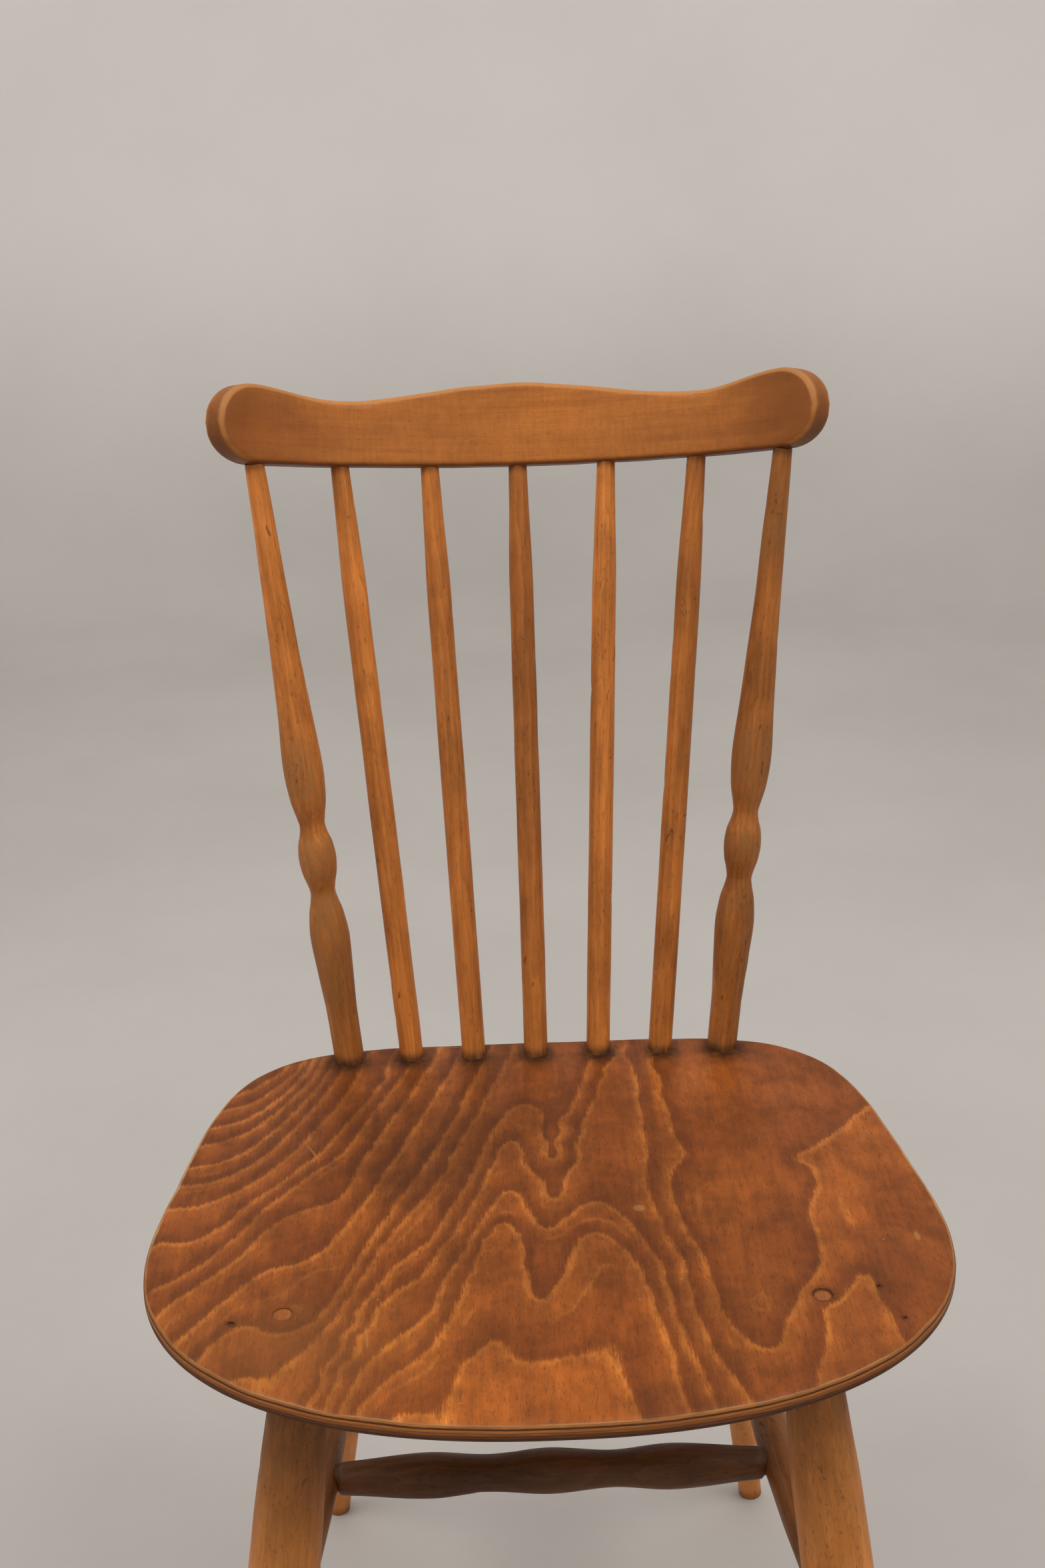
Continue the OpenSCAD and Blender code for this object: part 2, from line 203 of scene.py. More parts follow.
def turned_piece(name, a, b, shape, seed, start=0.0, stop=None, low=None, high=None,
                 segments=56, step=1.8, uneven=0.10, dents=10, ends=()):
    """A turned piece on the line from a towards b, from start to stop along it, or cut level
    at the heights low and high. ends holds (distance, radius) pairs for tenons past the shape."""
    rng = np.random.default_rng(seed)
    axis = unit(b - a)
    e1 = unit(np.cross(axis, [0.0, 1.0, 0.05]))
    e2 = np.cross(axis, e1)
    stop = np.linalg.norm(b - a) if stop is None else stop
    phi = np.arange(segments) / segments * TAU
    side = np.cos(phi)[:, None] * e1 + np.sin(phi)[:, None] * e2
    t0 = np.full(segments, start)
    t1 = np.full(segments, stop)
    for _ in range(12):
        if low is not None:
            t0 = (low - a[2] - curve_at(shape, t0) * side[:, 2]) / axis[2]
        if high is not None:
            t1 = (high - a[2] - curve_at(shape, t1) * side[:, 2]) / axis[2]
    count = int((t1.mean() - t0.mean()) / step) + 2
    u = np.linspace(0, 1, count)
    t = t0[None, :] + (t1 - t0)[None, :] * u[:, None]
    radius = curve_at(shape, t)
    angle = np.broadcast_to(phi, t.shape)
    spread = np.stack([np.cos(angle) * 12, np.sin(angle) * 12, t], -1).reshape(-1, 3)
    radius = radius + (uneven * ripple(spread, seed, 45) - uneven).reshape(t.shape) * 0.6
    for _ in range(dents):
        at, way = rng.uniform(t0.max() + 12, t1.min() - 12), rng.uniform(0, TAU)
        wide, deep = rng.uniform(1.6, 3.4), rng.uniform(0.12, 0.34)
        across = (np.mod(angle - way + math.pi, TAU) - math.pi) * radius
        radius = radius - deep * np.exp(-((t - at) ** 2 / (1.4 * wide) ** 2 + across ** 2 / wide ** 2))
    points = a + t[..., None] * axis + radius[..., None] * side[None]
    rings = [points.reshape(-1, 3)]
    local = [np.stack([radius * np.cos(angle), radius * np.sin(angle), t], -1).reshape(-1, 3)]
    before = [e for e in ends if e[0] < t0.min()]
    after = [e for e in ends if e[0] > t1.max()]
    for group, first in ((before[::-1], True), (after, False)):
        for at, r in group:
            ring = a + at * axis + r * side
            there = np.stack([r * np.cos(phi), r * np.sin(phi), np.full(segments, at)], -1)
            if first:
                rings.insert(0, ring)
                local.insert(0, there)
            else:
                rings.append(ring)
                local.append(there)
    points = np.vstack(rings)
    local = np.vstack(local)
    total = len(points) // segments
    faces = ring_faces(total, segments)
    for at, turn in ((0, False), ((total - 1) * segments, True)):
        rim = slice(at, at + segments)
        faces += fan(at, segments, len(points), turn)
        points = np.vstack([points, points[rim].mean(0)])
        local = np.vstack([local, local[rim].mean(0)])
    obj = make_piece(name, to_frame(points), faces, sharp=50)
    pith = rng.uniform(0, TAU)
    away = rng.uniform(14, 26)
    shift = np.array([math.cos(pith) * away, math.sin(pith) * away, rng.uniform(0, 400)])
    put(obj, "grain", (local + shift) * MM)
    r = np.hypot(local[:, 0], local[:, 1])
    swell = r / np.maximum(curve_at(smoothed(shape), local[:, 2]), 1)
    put(obj, "wear", smoothstep(1.0, 1.16, swell))
    return obj


def smoothed(shape):
    """The shape without its beads: what its radius would be on a plain taper."""
    x = np.array([s[0] for s in shape], float)
    grid = np.linspace(x[0], x[-1], 60)
    r = curve_at(shape, grid)
    width = (x[-1] - x[0]) * 0.12
    kernel = np.exp(-((grid[:, None] - grid[None]) / width) ** 2)
    return list(zip(grid, kernel @ r / kernel.sum(1)))


def scaled(shape, length):
    return [(s * length, r) for s, r in shape]


# ---------------------------------------------------------------- materials

class Nodes:
    """Short names for building a node material."""

    def __init__(self, name):
        self.material = bpy.data.materials.new(name)
        self.material.use_nodes = True
        self.tree = self.material.node_tree
        self.tree.nodes.clear()
        self.out = self.tree.nodes.new("ShaderNodeOutputMaterial")

    def link(self, source, socket):
        if isinstance(source, (int, float)):
            socket.default_value = source
        elif isinstance(source, (tuple, list)):
            wanted = len(socket.default_value)
            socket.default_value = (tuple(source) + (1.0,))[:wanted]
        else:
            self.tree.links.new(source, socket)

    def add(self, kind, **settings):
        node = self.tree.nodes.new(kind)
        for key, value in settings.items():
            setattr(node, key, value)
        return node

    def attribute(self, name, vector=False):
        node = self.add("ShaderNodeAttribute", attribute_name=name)
        return node.outputs["Vector" if vector else "Fac"]

    def place(self):
        return self.add("ShaderNodeTexCoord").outputs["Object"]

    def math(self, operation, a, b=None, c=None, clamp=False):
        node = self.add("ShaderNodeMath", operation=operation, use_clamp=clamp)
        for source, socket in zip((a, b, c), node.inputs):
            if source is not None:
                self.link(source, socket)
        return node.outputs[0]

    def mul(self, a, b, clamp=False):
        return self.math("MULTIPLY", a, b, clamp=clamp)

    def madd(self, a, b, c):
        """a times b, plus c."""
        return self.math("MULTIPLY_ADD", a, b, c)

    def vector(self, operation, a, b=None):
        node = self.add("ShaderNodeVectorMath", operation=operation)
        self.link(a, node.inputs[0])
        if b is not None:
            self.link(b, node.inputs[1])
        return node.outputs["Value" if operation == "LENGTH" else "Vector"]

    def noise(self, vector, scale=1.0, detail=2.0, roughness=0.5, distortion=0.0):
        node = self.add("ShaderNodeTexNoise", noise_dimensions="3D")
        self.link(vector, node.inputs["Vector"])
        node.inputs["Scale"].default_value = scale
        node.inputs["Detail"].default_value = detail
        node.inputs["Roughness"].default_value = roughness
        node.inputs["Distortion"].default_value = distortion
        return node.outputs["Fac"]

    def stretched(self, where, scale, detail=2.0, roughness=0.5, distortion=0.0):
        """Noise with its own scale along each axis, for grain, fibres and flecks."""
        return self.noise(self.vector("MULTIPLY", where, scale), 1, detail, roughness, distortion)

    def range(self, value, low, high, to_low=0.0, to_high=1.0, smooth=True):
        node = self.add("ShaderNodeMapRange", interpolation_type="SMOOTHSTEP" if smooth else "LINEAR")
        for source, socket in zip((value, low, high, to_low, to_high), node.inputs):
            self.link(source, socket)
        return node.outputs[0]

    def ramp(self, value, stops):
        node = self.add("ShaderNodeValToRGB")
        self.link(value, node.inputs[0])
        elements = node.color_ramp.elements
        while len(elements) < len(stops):
            elements.new(0.5)
        for element, (place, colour) in zip(elements, stops):
            element.position = place
            element.color = (*colour, 1.0)
        return node.outputs[0]

    def mix(self, factor, a, b, blend="MIX"):
        node = self.add("ShaderNodeMix", data_type="RGBA", blend_type=blend)
        self.link(factor, node.inputs["Factor"])
        self.link(a, node.inputs[6])
        self.link(b, node.inputs[7])
        return node.outputs[2]

    def tint(self, colour, amount):
        """Brightens or darkens a colour by a factor that varies over the surface."""
        node = self.add("ShaderNodeVectorMath", operation="SCALE")
        self.link(colour, node.inputs[0])
        self.link(amount, node.inputs["Scale"])
        return node.outputs["Vector"]

    def vary(self, colour, value, low, high, to_low, to_high, smooth=True):
        """Tints a colour by a range of factors."""
        return self.tint(colour, self.range(value, low, high, to_low, to_high, smooth))

    def coat(self, colour, mask, strength, over):
        """Lays another colour over this one where the mask is strong."""
        return self.mix(self.mul(mask, strength), colour, over)

    def finish(self, colour, roughness, height=None, bump=0.2, depth=0.0003, **fixed):
        shader = self.add("ShaderNodeBsdfPrincipled")
        self.link(colour, shader.inputs["Base Color"])
        self.link(roughness, shader.inputs["Roughness"])
        for key, value in fixed.items():
            shader.inputs[key.replace("_", " ")].default_value = value
        if height is not None:
            node = self.add("ShaderNodeBump")
            node.inputs["Strength"].default_value = bump
            node.inputs["Distance"].default_value = depth
            self.link(height, node.inputs["Height"])
            self.link(node.outputs[0], shader.inputs["Normal"])
        self.tree.links.new(shader.outputs[0], self.out.inputs[0])
        return self.material


SRGB_KNEE = 10.3            # below this display value the curve is a straight line
SRGB_SLOPE = 255 * 12.92


def srgb(r, g, b):
    """A linear colour from 0-255 display values."""
    return tuple(c / SRGB_SLOPE if c <= SRGB_KNEE else ((c / 255 + 0.055) / 1.055) ** 2.4 for c in (r, g, b))


def turned_wood(name, dark, mid, light, worn, ring=0.0042, contrast=0.3, smudge=0.35, wear=0.8, rough=0.46,
                streaks=0.13):
    """Turned hardwood under a thin old finish. The grain attribute runs along the piece."""
    n = Nodes(name)
    grain = n.attribute("grain", vector=True)
    across = n.vector("MULTIPLY", grain, (1, 1, 0))
    slow = n.vector("MULTIPLY", grain, (1, 1, 0.16))
    wander = n.noise(slow, 38, 3, 0.55, 0.4)
    rings = n.madd(n.vector("LENGTH", across), 1 / ring, n.mul(wander, 5.0))
    band = n.math("FRACT", rings)
    figure = n.ramp(band, [(0.0, light), (0.25, mid), (0.80, dark), (0.93, dark), (1.0, light)])
    colour = n.mix(contrast, mid, figure)
    patch = n.stretched(grain, (30, 30, 11), 4, 0.65)
    colour = n.vary(colour, patch, 0.32, 0.70, 1.12, 1 - smudge)
    streak = n.stretched(grain, (420, 420, 16), 3, 0.6)
    colour = n.vary(colour, streak, 0.28, 0.72, 1 - streaks, 1 + streaks)
    fibre = n.stretched(grain, (1500, 1500, 42), 3, 0.65)
    colour = n.vary(colour, fibre, 0.2, 0.8, 0.84, 1.15, smooth=False)
    fleck = n.range(n.stretched(grain, (1000, 1000, 150), 1, 0.5), 0.62, 0.72)
    colour = n.coat(colour, fleck, 0.35, tuple(c * 0.45 for c in dark))
    scuff = n.stretched(grain, (170, 170, 42), 4, 0.72)
    rub = n.madd(n.attribute("wear"), 0.36, n.math("SUBTRACT", scuff, 0.22))
    speck = n.stretched(grain, (560, 560, 240), 3, 0.7)
    rub = n.mul(n.range(rub, 0.34, 0.66), n.range(speck, 0.36, 0.60, wear, wear * 0.4))
    colour = n.mix(rub, colour, worn)
    soot = n.mul(n.range(speck, 0.58, 0.70), n.range(patch, 0.42, 0.62, 0.18, 0.66))
    colour = n.mix(soot, colour, tuple(c * 0.3 for c in dark))
    colour = n.tint(colour, n.math("ADD", n.attribute("tone"), 1.0))
    nick = n.range(n.stretched(grain, (260, 260, 95), 2, 0.5, 0.8), 0.69, 0.75)
    colour = n.coat(colour, nick, 0.65, tuple(c * 0.28 for c in dark))
    # dirt darkens the wood; at the legs' tops and under the crest the same darkening is painted shade
    grime_and_shade = n.attribute("grime_and_shade")
    grime_and_shade = n.mul(grime_and_shade, n.range(scuff, 0.3, 0.6, 0.6, 1.0), clamp=True)
    colour = n.mix(grime_and_shade, colour, srgb(44, 27, 14))
    roughness = n.math("ADD", n.range(patch, 0.25, 0.75, rough - 0.06, rough + 0.12),
                       n.madd(rub, 0.18, n.mul(grime_and_shade, 0.25)), clamp=True)
    height = n.madd(fibre, 0.5, n.madd(nick, -0.8, n.mul(band, 0.15)))
    return n.finish(colour, roughness, height, 0.35, 0.00025, Specular_IOR_Level=0.26)


# ---------------------------------------------------------------- the seat

# The top veneer's figure: growth-ring edges drawn on the seat, in mm, each with its ring number.
# Numbers grow towards the tongue in front; a whole number is a ring's pale edge.
FIGURE = [
    (12, [(-55, -182), (-50, -160), (-45, -142), (-38, -133), (-30, -124), (-22, -135), (-12, -142),
          (0, -140), (12, -138), (27, -138), (31, -155), (36, -182)]),
    (11, [(-97, -182), (-86, -158), (-73, -143), (-61, -129), (-55, -115), (-48, -95), (-43, -75),
          (-38, -55), (-34, -40), (-27, -26), (-19, -28), (-14, -44), (-14, -60), (-12, -78), (-7, -93),
          (0, -86), (8, -70), (12, -52), (17, -41), (25, -37), (33, -42), (40, -55), (46, -70),
          (50, -90), (52, -115), (56, -140), (60, -182)]),
    (10, [(-103, -182), (-99, -162), (-92, -141), (-80, -123), (-68, -110), (-60, -97), (-56, -82),
          (-48, -58), (-43, -46), (-37, -28), (-31, -12), (-26, 0), (-18, 5), (-13, -2), (-10, -15),
          (-5, -27), (0, -31), (8, -24), (18, -12), (27, -7), (36, -15), (46, -34), (54, -58),
          (58, -85), (60, -110), (64, -136), (69, -160), (73, -182)]),
    (9, [(-111, -180), (-108, -162), (-103, -140), (-96, -117), (-88, -96), (-78, -81), (-66, -68),
         (-60, -54), (-56, -42), (-47, -24), (-41, -8), (-36, 8), (-32, 26), (-26, 46), (-19, 58),
         (-12, 46), (-6, 22), (0, 5), (5, -3), (10, 7), (15, 26), (19, 50), (24, 77), (31, 96),
         (36, 118), (42, 140), (47, 172)]),
    (9, [(58, 172), (59, 140), (60, 110), (60, 80), (59, 50), (57, 20), (57, -5), (60, -25), (63, -44),
         (68, -62), (70, -90), (72, -115), (76, -140), (83, -160), (92, -182)]),
    (8, [(-119, -176), (-112, -155), (-105, -130), (-99, -108), (-93, -88), (-86, -72), (-78, -57),
         (-70, -47), (-62, -38), (-56, -22), (-50, -5), (-44, 12), (-39, 28), (-35, 45), (-31, 60),
         (-25, 78), (-18, 91), (-8, 98), (-1, 91), (1, 78), (0, 62), (2, 46), (5, 37), (9, 45),
         (12, 66), (17, 88), (23, 106), (28, 126), (32, 146), (36, 172)]),
    (8, [(72, 172), (71, 140), (72, 105), (75, 75), (77, 55), (80, 34), (72, 22), (69, 5), (69, -12),
         (71, -30), (75, -46), (79, -62), (81, -85), (82, -102), (86, -117), (92, -130), (99, -138),
         (106, -137), (111, -129), (114, -117), (121, -104), (126, -92), (134, -83), (139, -70),
         (141, -48), (141, -25), (146, -8), (150, 8), (148, 20), (142, 27), (151, 36), (160, 45),
         (171, 56), (182, 70), (196, 84)]),
    (9, [(119, -176), (124, -152), (130, -136), (133, -118), (134, -109), (143, -102), (149, -93),
         (157, -82), (161, -92), (163, -105), (165, -120), (167, -136), (171, -146)]),
    (7, [(-157, -149), (-143, -146), (-131, -139), (-121, -126), (-113, -110), (-106, -92), (-100, -75),
         (-94, -58), (-88, -42),
         (-82, -28), (-75, -13), (-66, 4), (-60, 20), (-53, 42), (-47, 60), (-40, 82), (-33, 105),
         (-27, 125), (-20, 148), (-14, 172)]),
    (6, [(-174, -134), (-168, -121), (-160, -110), (-151, -106), (-141, -111), (-129, -111), (-119, -104),
         (-112, -90), (-106, -75), (-101, -60), (-97, -45),
         (-92, -30), (-85, -12), (-78, 8), (-71, 24), (-65, 40), (-59, 56), (-54, 74), (-48, 92),
         (-43, 114), (-38, 133), (-33, 150), (-28, 172)]),
    (5, [(-182, -112), (-172, -97), (-163, -82), (-155, -69), (-145, -60), (-131, -56), (-122, -48),
         (-113, -32), (-106, -16), (-100, 0), (-94, 14), (-89, 30), (-83, 48), (-77, 68), (-70, 88),
         (-64, 108), (-58, 128), (-52, 147), (-46, 172)]),
    (4, [(-191, -84), (-178, -68), (-167, -54), (-159, -42), (-153, -28), (-145, -17), (-135, -8),
         (-122, -2), (-113, 5), (-107, 20), (-103, 38), (-98, 55), (-92, 72), (-86, 90), (-79, 109),
         (-73, 129), (-66, 149), (-61, 172)]),
    (3, [(-202, -72), (-190, -62), (-179, -50), (-170, -36), (-162, -22), (-156, -8), (-149, 4),
         (-140, 17), (-130, 31), (-118, 46), (-111, 60), (-105, 77), (-99, 95), (-92, 115), (-85, 132),
         (-79, 151), (-75, 170)]),
    (2, [(-204, -32), (-189, -32), (-179, -23), (-171, -12), (-164, 0), (-156, 11), (-147, 22),
         (-139, 34), (-131, 47), (-124, 60), (-118, 74), (-112, 88), (-106, 101), (-100, 116),
         (-94, 134), (-90, 168)]),
    (1, [(-206, 0), (-190, 2), (-179, 9), (-168, 18), (-159, 29), (-151, 40), (-144, 52), (-137, 66),
         (-130, 82), (-124, 98), (-118, 115), (-113, 134), (-107, 164)]),
    (0, [(-203, 22), (-187, 25), (-177, 31), (-168, 39), (-160, 50), (-152, 63), (-145, 78),
         (-138, 95), (-132, 112), (-126, 131), (-120, 160)]),
    (-1, [(-201, 42), (-184, 46), (-173, 55), (-164, 66), (-156, 79), (-148, 94), (-141, 111),
          (-134, 132), (-128, 158)]),
    (-2, [(-198, 64), (-187, 67), (-177, 73), (-168, 82), (-161, 92), (-154, 104), (-147, 118),
          (-140, 136), (-135, 156)]),
    (-3, [(-194, 84), (-184, 87), (-174, 93), (-165, 102), (-158, 114), (-151, 128), (-144, 146)]),
    (-4, [(-188, 104), (-178, 108), (-169, 116), (-162, 126), (-155, 138), (-149, 150)]),
    (5.45, [(-127, -66), (-136, -76), (-150, -84), (-162, -94)]),
    (5.6, [(-117, -64), (-124, -82)]),
    (7.5, [(110, -60), (112, -10), (108, 40), (112, 80), (115, 120), (95, -90), (110, -110), (118, 165)]),
    (7.55, [(0, 125), (8, 150), (-2, 112), (2, 172)]),
    (8.45, [(172, 0), (196, 0), (180, -40), (205, -40)]),
    (8.6, [(178, -75), (190, -110), (198, -80), (182, -130)]),
    (8.1, [(195, 60), (203, 30)]),
    (7.6, [(165, 90), (150, 130), (180, 110), (130, 60), (140, 0)]),
]


def figure_at(x, y):
    """Ring number of the veneer at each place: a smooth sheet through the ring edges."""
    known = np.array([(px, py, ring) for ring, line in FIGURE for px, py in line], float)
    spot = known[:, :2] / 100

    def kernel(a, b):
        d2 = ((a[:, None, :] - b[None, :, :]) ** 2).sum(-1)
        return 0.5 * d2 * np.log(d2 + 1e-12)

    n = len(known)
    system = np.zeros((n + 3, n + 3))
    system[:n, :n] = kernel(spot, spot) + 2e-4 * np.eye(n)
    system[:n, n] = 1
    system[:n, n + 1:] = spot
    system[n, :n] = 1
    system[n + 1:, :n] = spot.T
    weights = np.linalg.solve(system, np.append(known[:, 2], [0, 0, 0]))
    out = np.empty(len(x))
    for first in range(0, len(x), 4000):
        part = slice(first, first + 4000)
        at = np.stack([x[part], y[part]], -1) / 100
        out[part] = kernel(at, spot) @ weights[:n] + weights[n] + at @ weights[n + 1:]
    return out


def seat_outline(count):
    """Points of the seat's outline at even distances, and the unit vectors that point out of it."""
    a = np.linspace(0, TAU, 20001)
    s, c = np.sin(a), np.cos(a)
    power = np.where(s < 0, FRONT_POWER, REAR_POWER)
    y = SEAT_D / 2 * np.sign(s) * np.abs(s) ** (2 / power)
    x = np.sign(c) * np.abs(c) ** (2 / power) * (1 - TAPER * y)
    x *= seat_hi[0] / x.max()
    y += WAIST
    run = np.concatenate([[0], np.cumsum(np.hypot(np.diff(x), np.diff(y)))])
    at = np.arange(count) / count * run[-1]
    p = np.stack([np.interp(at, run, x), np.interp(at, run, y)], -1)
    d = np.roll(p, -1, 0) - np.roll(p, 1, 0)
    out = np.stack([d[:, 1], -d[:, 0]], -1)
    return p, out / np.linalg.norm(out, axis=1)[:, None]


PLIES = 7          # veneers in the plywood
UPRIGHTS = range(-3, 4)


def back_point(x, n, h):
    return np.array([
        x,
        BASE_Y + n * math.cos(RAKE) + h * math.sin(RAKE),
        SEAT_TOP - n * math.sin(RAKE) + h * math.cos(RAKE),
    ])


def upright_foot(i):
    return back_point(BASE_PITCH * i, 0, 0)


def upright_head(i):
    a = math.copysign(math.radians(HEAD_ANGLES[abs(i)]), i)
    return back_point(CREST_BEND * math.sin(a), CREST_BEND * (math.cos(a) - 1), CREST_LOW)


def build_seat():
    count = 400
    edge, out = seat_outline(count)
    round_r = SEAT_ROUND
    # profile of the edge, as (inset, depth below the top): a rounded upper edge, the worn plies,
    # with a fine groove at each glue line, and a rounded lower edge
    depths = np.unique(np.round(np.concatenate([
        round_r * (1 - np.cos(np.linspace(0, math.pi / 2, 12))),
        SEAT_T - round_r * (1 - np.cos(np.linspace(0, math.pi / 2, 8))),
        [SEAT_T * k / PLIES + d for k in range(1, PLIES) for d in (-0.28, -0.09, 0.09, 0.28)],
    ]), 3))
    profile = []
    for depth in depths:
        near = min(depth, SEAT_T - depth)
        inset = round_r * (1 - math.sqrt(max(0.0, 1 - (1 - near / round_r) ** 2))) if near < round_r else 0.0
        glue = min(abs(depth - SEAT_T * k / PLIES) for k in range(1, PLIES))
        profile.append((inset + (0.16 if glue < 0.1 and near > 0.6 else 0.0), depth))
    rings, depth_of, inset_of = [], [], []
    centre = np.array([0.0, WAIST])

    def ring(inset, depth, share=1.0):
        flat = edge - inset * out
        flat = centre + (flat - centre) * share
        rings.append(np.column_stack([flat, np.full(count, SEAT_TOP - depth)]))
        depth_of.append(np.full(count, depth))
        inset_of.append(np.full(count, inset + (1 - share) * 180))

    inner = 12.0
    for share in (0.08, 0.3, 0.55, 0.8, 1.0):
        ring(inner, SEAT_T, share)
    for inset in (9.0, 6.5, 5.0):
        ring(inset, SEAT_T)
    for inset, depth in profile[::-1]:
        ring(inset, depth)
    for inset in (4.6, 5.3, 6.2, 7.4, 8.8, 10.3, 12.0):
        ring(inset, 0.0)
    for share in np.linspace(1, 0.02, 68)[1:]:
        ring(inner, 0.0, share)
    points = np.vstack(rings)
    total = len(rings)
    # the worn edge: its rounding is a little uneven, always inside the true outline
    depth, inset = np.concatenate(depth_of), np.concatenate(inset_of)
    wander = ripple(points[:, :2], 5, 38)
    rub = np.clip(0.12 + 0.12 * wander, 0, 0.4) * (inset < 5) * (depth < 7)
    normal = np.tile(out, (total, 1))
    points[:, :2] -= normal * rub[:, None]
    points[:, 2] -= np.where(depth < 5, rub * 0.5, 0)
    # a trace of unevenness in the flat top, never above it
    points[:, 2] -= (depth < 0.01) * (0.05 + 0.05 * ripple(points[:, :2], 6, 60))
    faces = ring_faces(total, count)
    points = np.vstack([points, [0, WAIST, SEAT_TOP - SEAT_T], [0, WAIST, SEAT_TOP - 0.05]])
    faces += fan(0, count, len(points) - 2, False)
    faces += fan((total - 1) * count, count, len(points) - 1, True)
    return make_piece("seat", to_frame(points), faces)


def cutter(name, x, y, r, top, bottom, count=40, flare=0.25):
    """A round tool that stands from bottom to above the seat, slightly wider at the surface."""
    line = [(r, bottom), (r, top - 0.35), (r + flare, top + 0.02), (r + flare, top + 3)]
    points, faces = round_solid(x, y, line, count)
    return make_piece(name, to_frame(points), faces)


# small pale scratches and chips on the seat: place, half sizes and turn
MARKS = [(50, -15, 3.6, 3.0, 0), (193, -50, 1.6, 4.2, 0), (-131, 52, 0.7, 9, 0.45), (-46, -169, 0.9, 0.9, 0),
         (-88, -88, 0.9, 0.9, 0), (69, -65, 0.8, 0.9, 0), (66, -80, 0.9, 0.8, 0), (175, -52, 0.6, 0.9, 0),
         (-92, -118, 0.8, 9, 0.12)]
NAIL_HOLES = [(-160, -103, 1.3), (164, -92, 0.7), (172, -118, 0.6)]


def cut_holes(seat):
    tools = [cutter("cut_l", -PLUG_X, PLUG_Y, PLUG_R, SEAT_TOP, SEAT_TOP - 3.0, flare=0.02),
             cutter("cut_r", PLUG_X, PLUG_Y, PLUG_R, SEAT_TOP, SEAT_TOP - 3.0, flare=0.35)]
    for k, (x, y, r) in enumerate(NAIL_HOLES):
        tools.append(cutter(f"cut_{k}", x, y, r, SEAT_TOP, SEAT_TOP - 3.5, 16, 0.2))
    bpy.context.view_layer.objects.active = seat
    for tool in tools:
        change = seat.modifiers.new("hole", "BOOLEAN")
        change.object, change.operation, change.solver = tool, "DIFFERENCE", "EXACT"
    graph = bpy.context.evaluated_depsgraph_get()
    made = bpy.data.meshes.new_from_object(seat.evaluated_get(graph))
    seat.modifiers.clear()
    seat.data = made
    for tool in tools:
        bpy.data.objects.remove(tool)
    made.shade_smooth()
    made.set_sharp_from_angle(angle=math.radians(38))


WIDEST_RING = 80.0          # mm


def seat_attributes(seat):
    """What the seat's material needs at each point: ring number and width, depth, dirt, tone and wear, with a
    painted reflection along the rim towards the back.
    """
    p = places(seat) / MM - SHIFT
    x, y = p[:, 0], p[:, 1]
    put(seat, "ring", figure_at(x, y))
    step = 0.6
    slope_x = (figure_at(x + step, y) - figure_at(x - step, y)) / (2 * step)
    slope_y = (figure_at(x, y + step) - figure_at(x, y - step)) / (2 * step)
    put(seat, "spread", 1 / np.maximum(np.hypot(slope_x, slope_y), 1 / WIDEST_RING))
    put(seat, "depth", SEAT_TOP - p[:, 2])
    dirt = np.zeros(len(p))
    for i in UPRIGHTS:
        foot = upright_foot(i)
        r = POST_FOOT_R if abs(i) == 3 else SPINDLE_FOOT_R
        away = np.hypot(x - foot[0], (y - foot[1]) * 0.9) - r
        ahead = smoothstep(6, -10, y - foot[1])
        halo = np.exp(-np.maximum(away, 0) ** 2 / (2 * (3.0 + 3.0 * ahead) ** 2))
        dirt = np.maximum(dirt, halo * (0.55 + 0.45 * ahead))
    for hx, hy, r in NAIL_HOLES:
        dirt = np.maximum(dirt, 0.9 * smoothstep(r + 1.6, r + 0.3, np.hypot(x - hx, y - hy)))
    for side in (-1, 1):
        away = np.hypot(x - side * PLUG_X, y - PLUG_Y) - PLUG_R
        dirt = np.maximum(dirt, (0.10 if side < 0 else 0.75) * np.exp(-(away / 0.9) ** 2))
    put(seat, "grime_and_shade", dirt)
    # paler and darker fields of the stain: centre, half sizes and amount
    tone = np.zeros(len(p))
    for cx, cy, wx, wy, amount in (
        (-66, -154, 42, 36, 0.46), (0, -168, 60, 26, 0.14), (22, -122, 40, 24, 0.36),
        (165, -10, 32, 55, 0.16), (-80, 55, 60, 55, -0.38), (20, 50, 50, 60, -0.10),
        (175, -72, 20, 24, -0.34), (105, -50, 34, 40, -0.22),
        (-185, 60, 30, 60, -0.10), (70, 130, 90, 30, 0.05), (-150, -30, 40, 40, 0.06),
        (-125, -126, 34, 28, -0.16),
    ):
        tone += amount * np.exp(-(((x - cx) / wx) ** 2 + ((y - cy) / wy) ** 2))
    put(seat, "tone", tone)
    # towards the back the worn pale rim is widened and lightened as a painted reflection
    put(seat, "rear_wear_and_sheen", smoothstep(-90, 20, y))
    put(seat, "pale", np.exp(-(((x + 120) / 60) ** 2 + ((y + 128) / 38) ** 2)))


# colours down the seat's edge, by share of its thickness, with a dark glue line near the top; the lower plies
# are darkened as painted shade
EDGE_COLOURS_AND_SHADE = [
    (0.14, (154, 100, 52)), (0.19, (142, 88, 42)), (0.225, (74, 42, 19)), (0.27, (70, 40, 18)),
    (0.31, (160, 98, 46)), (0.41, (160, 98, 45)), (0.44, (104, 60, 27)), (0.47, (142, 84, 38)),
    (0.56, (116, 66, 30)), (0.60, (78, 44, 20)), (0.66, (98, 55, 25)), (0.72, (68, 38, 17)),
    (0.78, (84, 47, 21)), (0.86, (56, 32, 15)), (0.92, (70, 40, 18)),
]
RING_TEETH, RING_DRIFT = 6.0, 2.6       # how far a ring's edge strays, in mm, finely and broadly
RING_BASE = 20.0                        # keeps every ring number above nought


